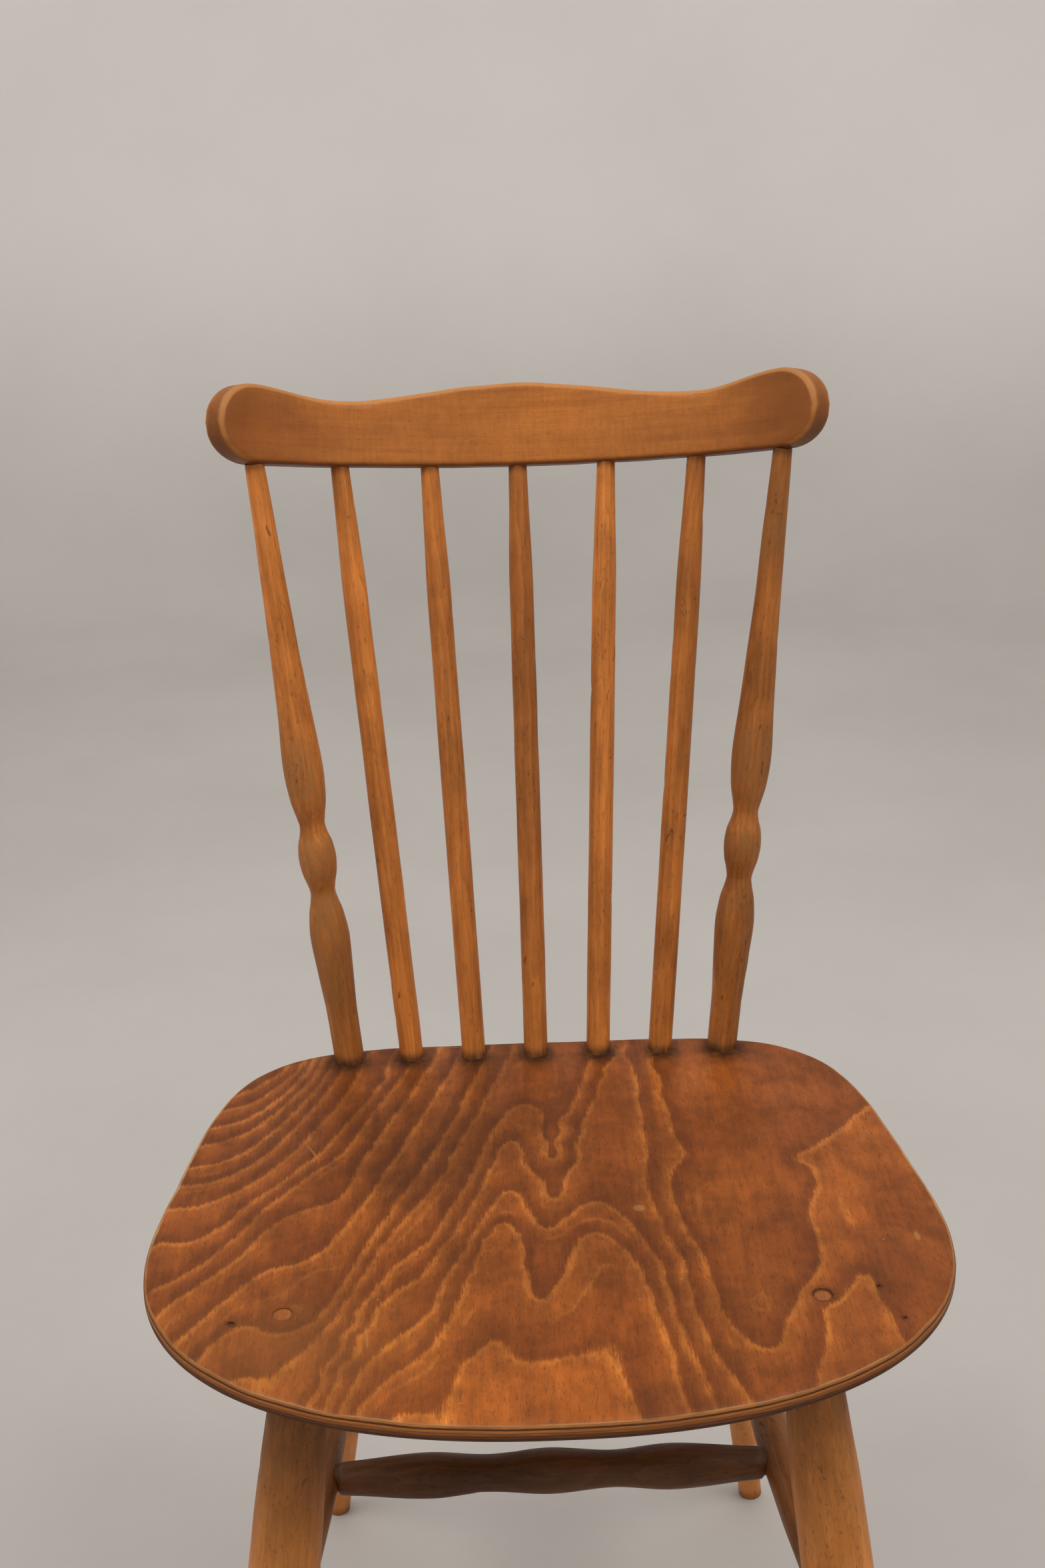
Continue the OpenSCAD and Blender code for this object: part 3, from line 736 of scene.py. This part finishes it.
def seat_material():
    n = Nodes("seat_veneer")
    where = n.place()
    light, amber = srgb(180, 108, 41), srgb(145, 77, 24)
    brown, dark = srgb(124, 62, 17), srgb(90, 44, 11)
    # ring edges, toothed where they cross the long fibres, which take the stain in streaks
    teeth = n.stretched(where, (1000, 95, 1), 2, 0.6)
    drift = n.noise(where, 42, 2, 0.5)
    spread = n.attribute("spread")
    stray = n.madd(n.math("SUBTRACT", teeth, 0.5), RING_TEETH,
                   n.mul(n.math("SUBTRACT", drift, 0.5), RING_DRIFT))
    ring = n.math("ADD", n.attribute("ring"), n.math("DIVIDE", stray, spread))
    ring = n.math("ADD", ring, RING_BASE)
    band = n.math("FRACT", ring)
    past = n.mul(band, spread)
    ahead = n.math("SUBTRACT", spread, past)
    node = n.add("ShaderNodeTexWhiteNoise", noise_dimensions="1D")
    n.link(n.math("FLOOR", ring), node.inputs["W"])
    own = node.outputs["Value"]
    cloud = n.noise(where, 26, 4, 0.65)
    vivid = n.mul(n.range(cloud, 0.34, 0.66, 1.1, 0.45), n.range(own, 0, 1, 0.7, 1.05, smooth=False))
    colour = n.mix(n.range(band, 0.05, 0.95), amber, brown)
    shade = n.mul(n.range(ahead, 1.0, 2.6), n.range(ahead, 3.0, 12.0, 1, 0))
    colour = n.mix(n.mul(shade, n.mul(vivid, 0.50), clamp=True), colour, dark)
    pale = n.math("MAXIMUM", n.range(past, 0.9, 3.8, 1, 0), n.range(ahead, 0.0, 1.3, 1, 0))
    colour = n.mix(n.mul(pale, n.mul(vivid, 0.66), clamp=True), colour, light)
    # a fainter line inside the wider rings
    inner = n.mul(n.math("SUBTRACT", band, n.range(own, 0, 1, 0.30, 0.55, smooth=False)), spread)
    inner = n.range(n.math("ABSOLUTE", inner), 0.4, 2.2, 1, 0)
    inner = n.mul(inner, n.range(n.noise(where, 22, 2, 0.5), 0.48, 0.60))
    colour = n.coat(colour, inner, n.range(spread, 12, 26, 0.10, 0.36), light)
    # cloudy stain, long fibres and short dark flecks from back to front
    colour = n.vary(colour, cloud, 0.34, 0.66, 1.18, 0.76)
    mottle = n.stretched(where, (110, 48, 1), 4, 0.65)
    colour = n.vary(colour, mottle, 0.32, 0.68, 1.12, 0.84)
    fibre = n.stretched(where, (1700, 90, 1), 3, 0.65)
    colour = n.vary(colour, fibre, 0.2, 0.8, 0.86, 1.14, smooth=False)
    streak = n.stretched(where, (300, 16, 1), 3, 0.6)
    colour = n.vary(colour, streak, 0.25, 0.75, 0.89, 1.11)
    fleck = n.range(n.stretched(where, (1500, 260, 1), 1, 0.5), 0.60, 0.70)
    colour = n.coat(colour, fleck, 0.42, srgb(66, 31, 9))
    colour = n.tint(colour, n.math("ADD", n.attribute("tone"), 1.0))
    colour = n.coat(colour, n.attribute("pale"), 0.22, srgb(148, 96, 45))
    # blotches where the finish is thin
    blotch = n.range(n.noise(where, 70, 4, 0.7), 0.58, 0.74)
    colour = n.coat(colour, blotch, 0.22, srgb(78, 38, 12))
    marks = None
    for x, y, wx, wy, turn in MARKS:
        spot = n.add("ShaderNodeMapping", vector_type="TEXTURE")
        spot.inputs["Location"].default_value = (x * MM, (y + SHIFT[1]) * MM, 0)
        spot.inputs["Rotation"].default_value = (0, 0, turn)
        spot.inputs["Scale"].default_value = (wx * MM, wy * MM, 1)
        n.link(where, spot.inputs["Vector"])
        flat = n.vector("MULTIPLY", spot.outputs[0], (1, 1, 0))
        here = n.range(n.madd(fibre, 0.9, n.vector("LENGTH", flat)), 1.1, 1.6, 1, 0)
        marks = here if marks is None else n.math("MAXIMUM", marks, here)
    colour = n.coat(colour, marks, 0.40, srgb(178, 129, 70))
    # dirt round the uprights' feet
    scuff = n.noise(where, 240, 3, 0.65)
    grime_and_shade = n.mul(n.attribute("grime_and_shade"), n.range(scuff, 0.25, 0.6, 0.55, 0.95), clamp=True)
    colour = n.mix(grime_and_shade, colour, srgb(38, 23, 10))
    # the edge: a thin pale line where the top veneer is rubbed bare, wider and paler towards the back as a
    # painted reflection, a dark glue line, then the plies, darker lower down as painted shade
    wander = n.mul(n.math("SUBTRACT", n.noise(where, 120, 3, 0.6), 0.5), 0.5)
    depth = n.attribute("depth")
    down = n.math("ADD", wander, depth)
    sooner = n.madd(n.attribute("rear_wear_and_sheen"), 0.75, down)
    bare_and_sheen = n.mul(n.range(sooner, 0.75, 1.15), n.range(n.noise(where, 38, 3, 0.6), 0.35, 0.62, 0.35, 0.80))
    bare_and_sheen = n.mul(bare_and_sheen, n.range(depth, 0.2, 0.4))
    colour = n.mix(bare_and_sheen, colour, n.mix(n.attribute("rear_wear_and_sheen"), srgb(176, 126, 76), srgb(196, 158, 108)))
    plies_and_shade = n.ramp(n.mul(down, 1 / SEAT_T), [(share, srgb(*shown)) for share, shown in EDGE_COLOURS_AND_SHADE])
    long_grain = n.stretched(where, (70, 70, 1300), 4, 0.65)
    plies_and_shade = n.vary(plies_and_shade, long_grain, 0.28, 0.72, 0.74, 1.22)
    colour = n.mix(n.range(down, 1.25, 1.65), colour, plies_and_shade)
    under = n.range(depth, SEAT_T - 0.8, SEAT_T - 0.3)
    below = n.mix(n.range(streak, 0.3, 0.7), srgb(150, 98, 50), srgb(118, 74, 36))
    below = n.vary(below, fibre, 0.2, 0.8, 0.88, 1.1)
    colour = n.mix(under, colour, below)
    roughness = n.math("ADD", n.range(cloud, 0.3, 0.7, 0.40, 0.54),
                       n.madd(grime_and_shade, 0.22, n.mul(bare_and_sheen, 0.2)), clamp=True)
    height = n.madd(fibre, 0.6, n.madd(band, 0.2, n.mul(fleck, -0.6)))
    return n.finish(colour, roughness, height, 0.28, 0.0002, Specular_IOR_Level=0.22)


seat = build_seat()
cut_holes(seat)
seat_attributes(seat)
dress(seat, seat_material(), "seat_veneer", "seat_panel")


# ---------------------------------------------------------------- plugs

def build_plug(name, x, y, top, seed, dirt):
    """A wooden plug with a slightly uneven top, standing in its hole."""
    r, bottom = PLUG_R - PLUG_PLAY, SEAT_TOP - PLUG_DEPTH
    line = [(r, bottom), (r, top - 0.4), (r - 0.12, top - 0.12), (r - 0.5, top - 0.02)]
    points, faces = round_solid(x, y, line + [(r * share, top) for share in (0.8, 0.6, 0.4, 0.2)], 40)
    tops = points[:, 2] > top - 0.2
    points[tops, 2] -= 0.06 + 0.05 * ripple(points[tops, :2], seed, 6)
    obj = make_piece(name, to_frame(points), faces, sharp=45)
    local = points - np.array([x, y, top])
    put(obj, "grain", (local[:, [0, 2, 1]] + np.array([40 + seed, 20, 10])) * MM)
    put(obj, "wear", np.full(len(points), 0.5))
    put(obj, "grime_and_shade", smoothstep(r - 1.4, r, np.hypot(local[:, 0], local[:, 1])) * dirt)
    return obj


HONEY = dict(dark=srgb(168, 100, 44), mid=srgb(203, 128, 58), light=srgb(218, 146, 74))
WARM = dict(dark=srgb(146, 82, 33), mid=srgb(180, 108, 45), light=srgb(198, 126, 58))
CHESTNUT = dict(dark=srgb(108, 64, 29), mid=srgb(140, 86, 41), light=srgb(160, 102, 52))
# a darker copy of the stretcher wood, as painted shade under the seat
BROWN_WITH_PAINTED_SHADE = dict(dark=srgb(66, 39, 18), mid=srgb(90, 55, 27), light=srgb(114, 70, 35))

plug_wood = turned_wood("plug_wood", srgb(122, 68, 28), srgb(146, 82, 35), srgb(160, 94, 42),
                        srgb(160, 100, 50), smudge=0.2)
# the left plug is almost level, the right one is sunk and dirtier
for name, x, sunk, seed, dirt in (("plug_left", -PLUG_X, 0.16, 3, 0.15),
                                  ("plug_right", PLUG_X, 1.1, 4, 0.75)):
    plug = build_plug(name, x, PLUG_Y, SEAT_TOP - sunk, seed, dirt)
    dress(plug, plug_wood, "plug_wood", "screw_plugs")


# ---------------------------------------------------------------- uprights

post_wood = turned_wood("post_wood", worn=srgb(150, 102, 56), smudge=0.42, wear=0.85, **WARM)
spindle_wood = turned_wood("spindle_wood", worn=srgb(150, 100, 52), smudge=0.38, wear=0.6, **WARM)
# where hands and cloth have rubbed the posts: distance up the post, half length, amount left and right
RUBBED = [(132, 15, 1.0, 0.75), (184, 30, 0.75, 0.85), (74, 46, 1.0, 0.55), (20, 34, 0.75, 0.6),
          (330, 34, 0.2, 0.7)]


# how much lighter each upright's wood is than the others, at its foot and at its head
TONES = {-3: (-0.14, 0.32), -2: (0.10, 0.30), -1: (0.06, 0.06), 0: (-0.06, -0.24),
         1: (0.16, 0.36), 2: (0.02, 0.0), 3: (-0.16, -0.14)}


def build_upright(i, name):
    foot, head = upright_foot(i), upright_head(i)
    length = np.linalg.norm(head - foot)
    shape = scaled([(s / CREST_LOW, r) for s, r in (POST if abs(i) == 3 else SPINDLE)], length)
    obj = turned_piece(name, foot, head, shape, seed=20 + i, start=-5.0, stop=length + 0.5,
                       segments=56 if abs(i) == 3 else 44, uneven=0.09, dents=14,
                       ends=((length + 1.0, 4.5), (length + 12.0, 4.5)))
    p = places(obj) / MM - SHIFT
    up = p[:, 2] - SEAT_TOP
    under_crest = np.abs((p - foot) @ unit(head - foot) - length)
    # dirt where the upright meets the seat, and painted shade just under the crest
    put(obj, "grime_and_shade", np.maximum(0.85 * smoothstep(7, 0.5, up), 0.5 * smoothstep(5, 0.5, under_crest)))
    if abs(i) == 3:
        run = (p - foot) @ unit(head - foot)
        marks = [(left if i < 0 else right) * np.exp(-((run - at) / half) ** 4)
                 for at, half, left, right in RUBBED]
        put(obj, "wear", np.max(marks, axis=0))
    low_tone, high_tone = TONES[i]
    put(obj, "tone", low_tone + (high_tone - low_tone) * smoothstep(40, 300, up))
    material = post_wood if abs(i) == 3 else spindle_wood
    return dress(obj, material, "back_wood", name)


for i in UPRIGHTS:
    build_upright(i, {-3: "back_post_left", 3: "back_post_right"}.get(i, f"spindle_{i + 3}"))


# ---------------------------------------------------------------- crest rail

def crest_round_end(d):
    """Height of the round end's outline above and below its middle, at distance d from the chair's middle."""
    past = (d - (CREST_HALF - CREST_LOBE)) / CREST_LOBE
    return np.sqrt(np.clip(1 - past ** 2, 0, 1))


def crest_top(s):
    lobe, d = CREST_HALF - CREST_LOBE, np.abs(s)
    hump = CREST_DIP + (CREST_MID - CREST_DIP) * (1 + np.cos(math.pi * d / CREST_DIP_AT)) / 2
    climb = (1 - np.cos(math.pi * (d - CREST_DIP_AT) / (lobe - CREST_DIP_AT))) / 2
    rise = CREST_DIP + (CREST_END - CREST_DIP) * climb
    end = CREST_END / 2 * (1 + crest_round_end(d))
    return np.where(d < CREST_DIP_AT, hump, np.where(d < lobe, rise, end))


def crest_bottom(s):
    d = np.abs(s)
    return np.where(d < CREST_HALF - CREST_LOBE, 0, CREST_END / 2 * (1 - crest_round_end(d)))


def build_crest():
    steps = 150
    t = np.linspace(-math.pi / 2, math.pi / 2, steps + 1)
    s = CREST_HALF * (0.55 * np.sin(t) + 0.45 * t / (math.pi / 2))
    s[0], s[-1] = -CREST_HALF, CREST_HALF
    low = np.column_stack([s, crest_bottom(s)])
    high = np.column_stack([s[-2:0:-1], crest_top(s[-2:0:-1])])
    edge = np.vstack([low, high])
    n = len(edge)
    d = np.roll(edge, -1, 0) - np.roll(edge, 1, 0)
    out = np.stack([d[:, 1], -d[:, 0]], -1)
    out /= np.linalg.norm(out, axis=1)[:, None]
    r, half = 3.5, CREST_T / 2
    turn = np.linspace(0, math.pi / 2, 8)
    arc = [(r * (1 - math.sin(a)), r * (1 - math.cos(a))) for a in turn]
    inner = (4.5, 6.0, 8.0, 11.0)
    profile = [(q, -half) for q in inner[::-1]] + [(q, -half + z) for q, z in arc]
    profile += [(0, -half + r + (CREST_T - 2 * r) * k / 4) for k in (1, 2, 3)]
    profile += [(q, half - z) for q, z in arc[::-1]] + [(q, half) for q in inner]
    rings, inset_of = [], []
    for q, w in profile:
        flat = edge - q * out
        rings.append(np.column_stack([flat, np.full(n, w)]))
        inset_of.append(np.full(n, q))
    flat = np.vstack(rings)
    inset = np.concatenate(inset_of)
    total = len(rings)
    faces = ring_faces(total, n)
    for start, front in ((0, False), ((total - 1) * n, True)):
        for k in range(steps):
            a, b = start + k, start + k + 1
            c, e = start + (n - k - 1) % n, start + (n - k) % n
            corners = [a, b, c, e]
            loop = [v for j, v in enumerate(corners) if v not in corners[:j]]
            faces.append(tuple(loop if front else loop[::-1]))
    # wear: the edges are rubbed a little round and uneven
    rubbed = np.clip(0.16 + 0.14 * ripple(flat, 31, 34), 0, 0.5) * (inset < 4)
    middle = np.column_stack([flat[:, 0] * 0.985, np.full(len(flat), CREST_END / 2), np.zeros(len(flat))])
    pull = middle - flat
    flat = flat + pull / np.linalg.norm(pull, axis=1)[:, None] * rubbed[:, None]
    angle = flat[:, 0] / CREST_BEND
    radius = CREST_BEND + flat[:, 2]
    x, nn, h = radius * np.sin(angle), radius * np.cos(angle) - CREST_BEND, flat[:, 1] + CREST_LOW
    points = np.column_stack([
        x,
        BASE_Y + nn * math.cos(RAKE) + h * math.sin(RAKE),
        SEAT_TOP - nn * math.sin(RAKE) + h * math.cos(RAKE),
    ])
    # the smooth curve stands a hair outside the CAD's facets at the back
    points[:, 1] = np.minimum(points[:, 1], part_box("crest_rail")[1].y / MM - SHIFT[1])
    obj = make_piece("crest", to_frame(points), faces, sharp=60)
    put(obj, "grain", (flat[:, [1, 2, 0]] + np.array([60.0, 44.0, 300.0])) * MM)
    put(obj, "lay", flat * MM)
    top = smoothstep(0.45, 0.9, (flat[:, 1] / np.maximum(crest_top(flat[:, 0]), 1)))
    ends = smoothstep(CREST_HALF - 34, CREST_HALF - 20, np.abs(flat[:, 0]))
    near = smoothstep(3.8, 1.5, inset)
    # on the flat faces a rim of bare wood shows along the top and round the ends; along the top it is partly
    # a painted highlight
    facing = smoothstep(CREST_T / 2 - 4.6, CREST_T / 2 - 1.5, np.abs(flat[:, 2]))
    wear = near * np.maximum(top * (0.35 + 0.65 * facing), 0.6 * ends * facing)
    put(obj, "wear", wear)
    # painted shade along the underside of the rail, and the ends darker low down on their rounded faces
    under = smoothstep(3.2, 0.6, flat[:, 1]) * (np.abs(flat[:, 0]) < CREST_HALF - 20)
    side = ends * (1 - facing) * smoothstep(3.0, 0.5, inset)
    put(obj, "grime_and_shade", np.maximum(0.8 * under, 0.6 * side * smoothstep(40, 8, flat[:, 1])))
    return obj


def crest_material():
    n = Nodes("crest_wood")
    grain = n.attribute("grain", vector=True)
    lay = n.attribute("lay", vector=True)
    dark, mid, light = srgb(150, 84, 33), srgb(177, 106, 43), srgb(192, 122, 54)
    slow = n.vector("MULTIPLY", grain, (1, 1, 0.07))
    drift = n.noise(slow, 60, 4, 0.6)
    band = n.stretched(grain, (330, 330, 7), 3, 0.6, 0.3)
    colour = n.ramp(n.madd(drift, 0.6, n.mul(band, 0.4)),
                    [(0.34, dark), (0.50, mid), (0.68, light)])
    colour = n.mix(0.55, mid, colour)
    fibre = n.stretched(grain, (1900, 1900, 70), 3, 0.65)
    colour = n.vary(colour, fibre, 0.2, 0.8, 0.88, 1.12, smooth=False)
    fleck = n.range(n.stretched(grain, (1500, 1500, 330), 1, 0.5), 0.60, 0.70)
    colour = n.coat(colour, fleck, 0.28, srgb(104, 54, 22))
    cross = n.stretched(grain, (90, 90, 420), 3, 0.65)
    colour = n.vary(colour, cross, 0.3, 0.7, 0.93, 1.07)
    split = n.add("ShaderNodeSeparateXYZ")
    n.link(lay, split.inputs[0])
    away = n.math("ABSOLUTE", split.outputs[0])
    patch = n.stretched(grain, (30, 30, 14), 4, 0.65)
    ends = n.range(n.madd(patch, 0.05, away), 0.13, 0.215, 0.0, 1.0)
    colour = n.coat(colour, ends, 0.78, srgb(130, 73, 29))
    colour = n.vary(colour, patch, 0.28, 0.72, 1.08, 0.84)
    scuff = n.stretched(grain, (140, 140, 60), 4, 0.7)
    # a pale rim of worn wood, along the top edge partly a painted highlight
    worn = n.range(n.madd(scuff, 0.7, n.attribute("wear")), 0.66, 1.20, 0.0, 0.50)
    colour = n.mix(worn, colour, srgb(196, 138, 78))
    # painted shade along the underside, and darker low on the ends
    grime_and_shade = n.mul(n.attribute("grime_and_shade"), n.range(scuff, 0.3, 0.6, 0.7, 1.0), clamp=True)
    colour = n.mix(grime_and_shade, colour, srgb(76, 43, 20))
    roughness = n.math("ADD", n.range(patch, 0.25, 0.75, 0.42, 0.56), n.mul(worn, 0.16), clamp=True)
    height = n.madd(fibre, 0.6, n.mul(fleck, -0.5))
    return n.finish(colour, roughness, height, 0.3, 0.00022, Specular_IOR_Level=0.26)


dress(build_crest(), crest_material(), "back_wood", "crest_rail")


# ---------------------------------------------------------------- legs and stretchers

def at_height(a, b, z):
    return a + (b - a) * (z - a[2]) / (b[2] - a[2])


UNDER_SEAT = SEAT_TOP - SEAT_T
# each pair of legs: how far out its tops and feet stand, where its tops are and how far it splays
LEG_PAIRS = (("front", 125.0, 180.0, FRONT_TOP_Y, -48), ("rear", 104.0, 157.0, REAR_TOP_Y, 137))
LEGS = {
    (pair, s): (np.array([s * top_x, y, UNDER_SEAT]), np.array([s * foot_x, y + splay, 0.0]))
    for pair, top_x, foot_x, y, splay in LEG_PAIRS
    for s in (-1, 1)
}

leg_wood = turned_wood("leg_wood", worn=srgb(206, 146, 84), ring=0.0085, contrast=0.20, smudge=0.22, wear=0.3,
                       streaks=0.05, **HONEY)
# the cross stretcher takes the darker copy as painted shade under the seat; the side stretchers are lit
stretcher_wood = turned_wood("stretcher_wood", worn=srgb(116, 76, 40), contrast=0.25, smudge=0.32,
                             wear=0.4, **BROWN_WITH_PAINTED_SHADE)
side_wood = turned_wood("side_wood", worn=srgb(170, 112, 60), contrast=0.25, smudge=0.30,
                        wear=0.4, **CHESTNUT)

for k, ((where, s), (top, foot)) in enumerate(LEGS.items()):
    length = np.linalg.norm(at_height(top, foot, BATTEN_LOW) - foot)
    name = f"{where}_leg_{'left' if s < 0 else 'right'}"
    leg = turned_piece(name, foot, top, scaled(LEG, length), seed=60 + k, low=0.0, high=BATTEN_LOW,
                       segments=72, step=2.4, uneven=0.14, dents=16)
    for vertex in leg.data.vertices:
        vertex.co.z = max(vertex.co.z, 0.0)
    z = places(leg)[:, 2] / MM
    # dirt at the feet, and painted shade under the seat at the tops
    put(leg, "grime_and_shade", np.maximum(0.6 * smoothstep(14, 0, z),
                                 0.62 * smoothstep(BATTEN_LOW - 100, BATTEN_LOW, z)))
    # painted shade below the seat, darkest on the left front leg
    put(leg, "tone", (-0.34 if k == 0 else -0.05) * smoothstep(BATTEN_LOW - 150, BATTEN_LOW - 30, z))
    dress(leg, leg_wood, "leg_wood", name)


def side_ends(s):
    return (at_height(*LEGS["front", s], STRETCHER_H), at_height(*LEGS["rear", s], STRETCHER_H))


for k, s in enumerate((-1, 1)):
    a, b = side_ends(s)
    start = a + unit(b - a) * LEG_FACE
    length = np.linalg.norm(b - a) - 2 * LEG_FACE
    name = f"side_stretcher_{'left' if s < 0 else 'right'}"
    bar = turned_piece(name, start, b, scaled(SIDE, length), seed=80 + k, start=0.0, stop=length, uneven=0.1,
                       ends=((-10.0, 7.0), (length + 10.0, 7.0)))
    put(bar, "grime_and_shade", np.zeros(len(bar.data.vertices)))
    dress(bar, side_wood, "stretcher_wood", name)

middle_r = sum(side_ends(1)) / 2
reach = middle_r[0] - CROSS_FACE
both = [(-x * reach, r) for x, r in CROSS[:0:-1]] + [(x * reach, r) for x, r in CROSS]
cross = turned_piece("cross_stretcher", np.array([0.0, middle_r[1], STRETCHER_H]), middle_r, both, seed=90,
                     start=-reach, stop=reach, segments=60, uneven=0.12,
                     ends=((-reach - 8.0, 6.5), (reach + 8.0, 6.5)))
put(cross, "grime_and_shade", np.zeros(len(cross.data.vertices)))
dress(cross, stretcher_wood, "stretcher_wood", "cross_stretcher")


# ---------------------------------------------------------------- battens and screws stay as CAD solids

def batten_material():
    n = Nodes("batten_wood")
    where = n.place()
    grain = n.vector("MULTIPLY", where, (0.09, 1, 1))
    rings = n.math("FRACT", n.madd(n.noise(grain, 30, 3, 0.5), 9.0, n.vector("LENGTH", grain)))
    colour = n.ramp(rings, [(0.0, srgb(172, 116, 60)), (0.6, srgb(148, 94, 46)), (0.95, srgb(126, 78, 37)),
                            (1.0, srgb(172, 116, 60))])
    fibre = n.stretched(where, (45, 1400, 1400), 3, 0.65)
    colour = n.vary(colour, fibre, 0.2, 0.8, 0.86, 1.12)
    patch = n.noise(where, 18, 3, 0.6)
    colour = n.vary(colour, patch, 0.3, 0.7, 1.05, 0.80)
    return n.finish(colour, n.range(patch, 0.3, 0.7, 0.5, 0.66), fibre, 0.4, 0.0003, Specular_IOR_Level=0.3)


def steel_material():
    n = Nodes("screw_steel")
    where = n.place()
    turns = n.stretched(where, (300, 300, 4000), 2, 0.5)
    colour = n.ramp(turns, [(0.3, srgb(120, 112, 100)), (0.7, srgb(168, 162, 150))])
    return n.finish(colour, n.range(turns, 0.3, 0.7, 0.32, 0.5), turns, 0.3, 0.0002, Metallic=1.0)


batten_wood, screw_steel = batten_material(), steel_material()
for node, material in (("front_batten", batten_wood), ("rear_batten", batten_wood),
                       ("seat_screws", screw_steel)):
    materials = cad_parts[node].data.materials
    materials.clear()
    materials.append(material)


# ---------------------------------------------------------------- studio

def studio_material():
    n = Nodes("studio_paint")
    where = n.place()
    tone = n.noise(where, 1.6, 4, 0.55)
    paint = n.mix(n.range(tone, 0.3, 0.7), srgb(238, 235, 233), srgb(233, 230, 227))
    floor = n.mix(n.range(tone, 0.3, 0.7), srgb(198, 194, 190), srgb(190, 186, 182))
    split = n.add("ShaderNodeSeparateXYZ")
    n.link(where, split.inputs[0])
    colour = n.mix(n.range(split.outputs[2], 0.02, 0.9), floor, paint)
    fine = n.noise(where, 60, 4, 0.6)
    return n.finish(colour, n.range(fine, 0.3, 0.7, 0.75, 0.9), fine, 0.06, 0.002)


def build_studio():
    """A pale floor that curves up into a pale wall all round."""
    count, flat, bend, height = 128, 2.7, 0.9, 3.4
    a = np.arange(count) / count * TAU
    line = [(r, 0.0) for r in (0.5, 1.0, 1.6, 2.2, flat)]
    line += [(flat + bend * math.sin(t), bend * (1 - math.cos(t)))
             for t in np.linspace(0, math.pi / 2, 16)[1:]]
    line += [(flat + bend, bend + (height - bend) * k / 3) for k in (1, 2, 3)]
    points = np.vstack([np.column_stack([r * np.cos(a), r * np.sin(a), np.full(count, z)]) for r, z in line]
                       + [[[0, 0, 0]]])
    faces = ring_faces(len(line), count) + fan(0, count, len(points) - 1, False)
    faces = [f[::-1] for f in faces]
    floor = make_piece("studio", points, faces)
    floor.data.materials.append(studio_material())


build_studio()


def area_light(name, place, target, wide, high, power, colour):
    light = bpy.data.lights.new(name, "AREA")
    light.shape, light.size, light.size_y = "RECTANGLE", wide, high
    light.energy, light.color = power, colour
    obj = bpy.data.objects.new(name, light)
    bpy.context.scene.collection.objects.link(obj)
    obj.location = place
    obj.rotation_mode = "QUATERNION"
    obj.rotation_quaternion = (Vector(target) - Vector(place)).to_track_quat("-Z", "Y")


for side in (-1, 1):
    area_light(f"lamp_{side}", (side * 1.5, -0.95, 3.0), (0, 0, 0.45), 1.5, 1.1, 30, (1.0, 0.965, 0.92))
area_light("top", (0.2, 0.5, 3.3), (0, 0, 0.4), 2.0, 2.0, 10, (1.0, 0.975, 0.94))

world = bpy.data.worlds.new("studio_sky")
bpy.context.scene.world = world
world.use_nodes = True
world.node_tree.nodes["Background"].inputs[0].default_value = (1.0, 0.985, 0.965, 1)
world.node_tree.nodes["Background"].inputs[1].default_value = 0.56


# ---------------------------------------------------------------- camera

def build_camera():
    data = bpy.data.cameras.new("camera")
    cam = bpy.data.objects.new("camera", data)
    bpy.context.scene.collection.objects.link(cam)
    pitch, yaw, roll = (math.radians(v) for v in (20.527, 0.956, -1.550))
    ahead = Vector((math.sin(yaw) * math.cos(pitch), math.cos(yaw) * math.cos(pitch), -math.sin(pitch)))
    right = Vector((math.cos(yaw), -math.sin(yaw), 0))
    up = right.cross(ahead)
    across = right * math.cos(roll) + up * math.sin(roll)
    upward = up * math.cos(roll) - right * math.sin(roll)
    turn = Matrix((across, upward, -ahead)).transposed()
    cam.matrix_world = Matrix.Translation((-0.02125, -0.92432, 1.00857)) @ turn.to_4x4()
    data.sensor_fit, data.sensor_width, data.lens = "AUTO", 36.0, 42.68
    data.clip_start, data.clip_end = 0.05, 50
    bpy.context.scene.camera = cam


build_camera()
scene = bpy.context.scene
scene.view_settings.view_transform = "Standard"
scene.view_settings.look = "None"
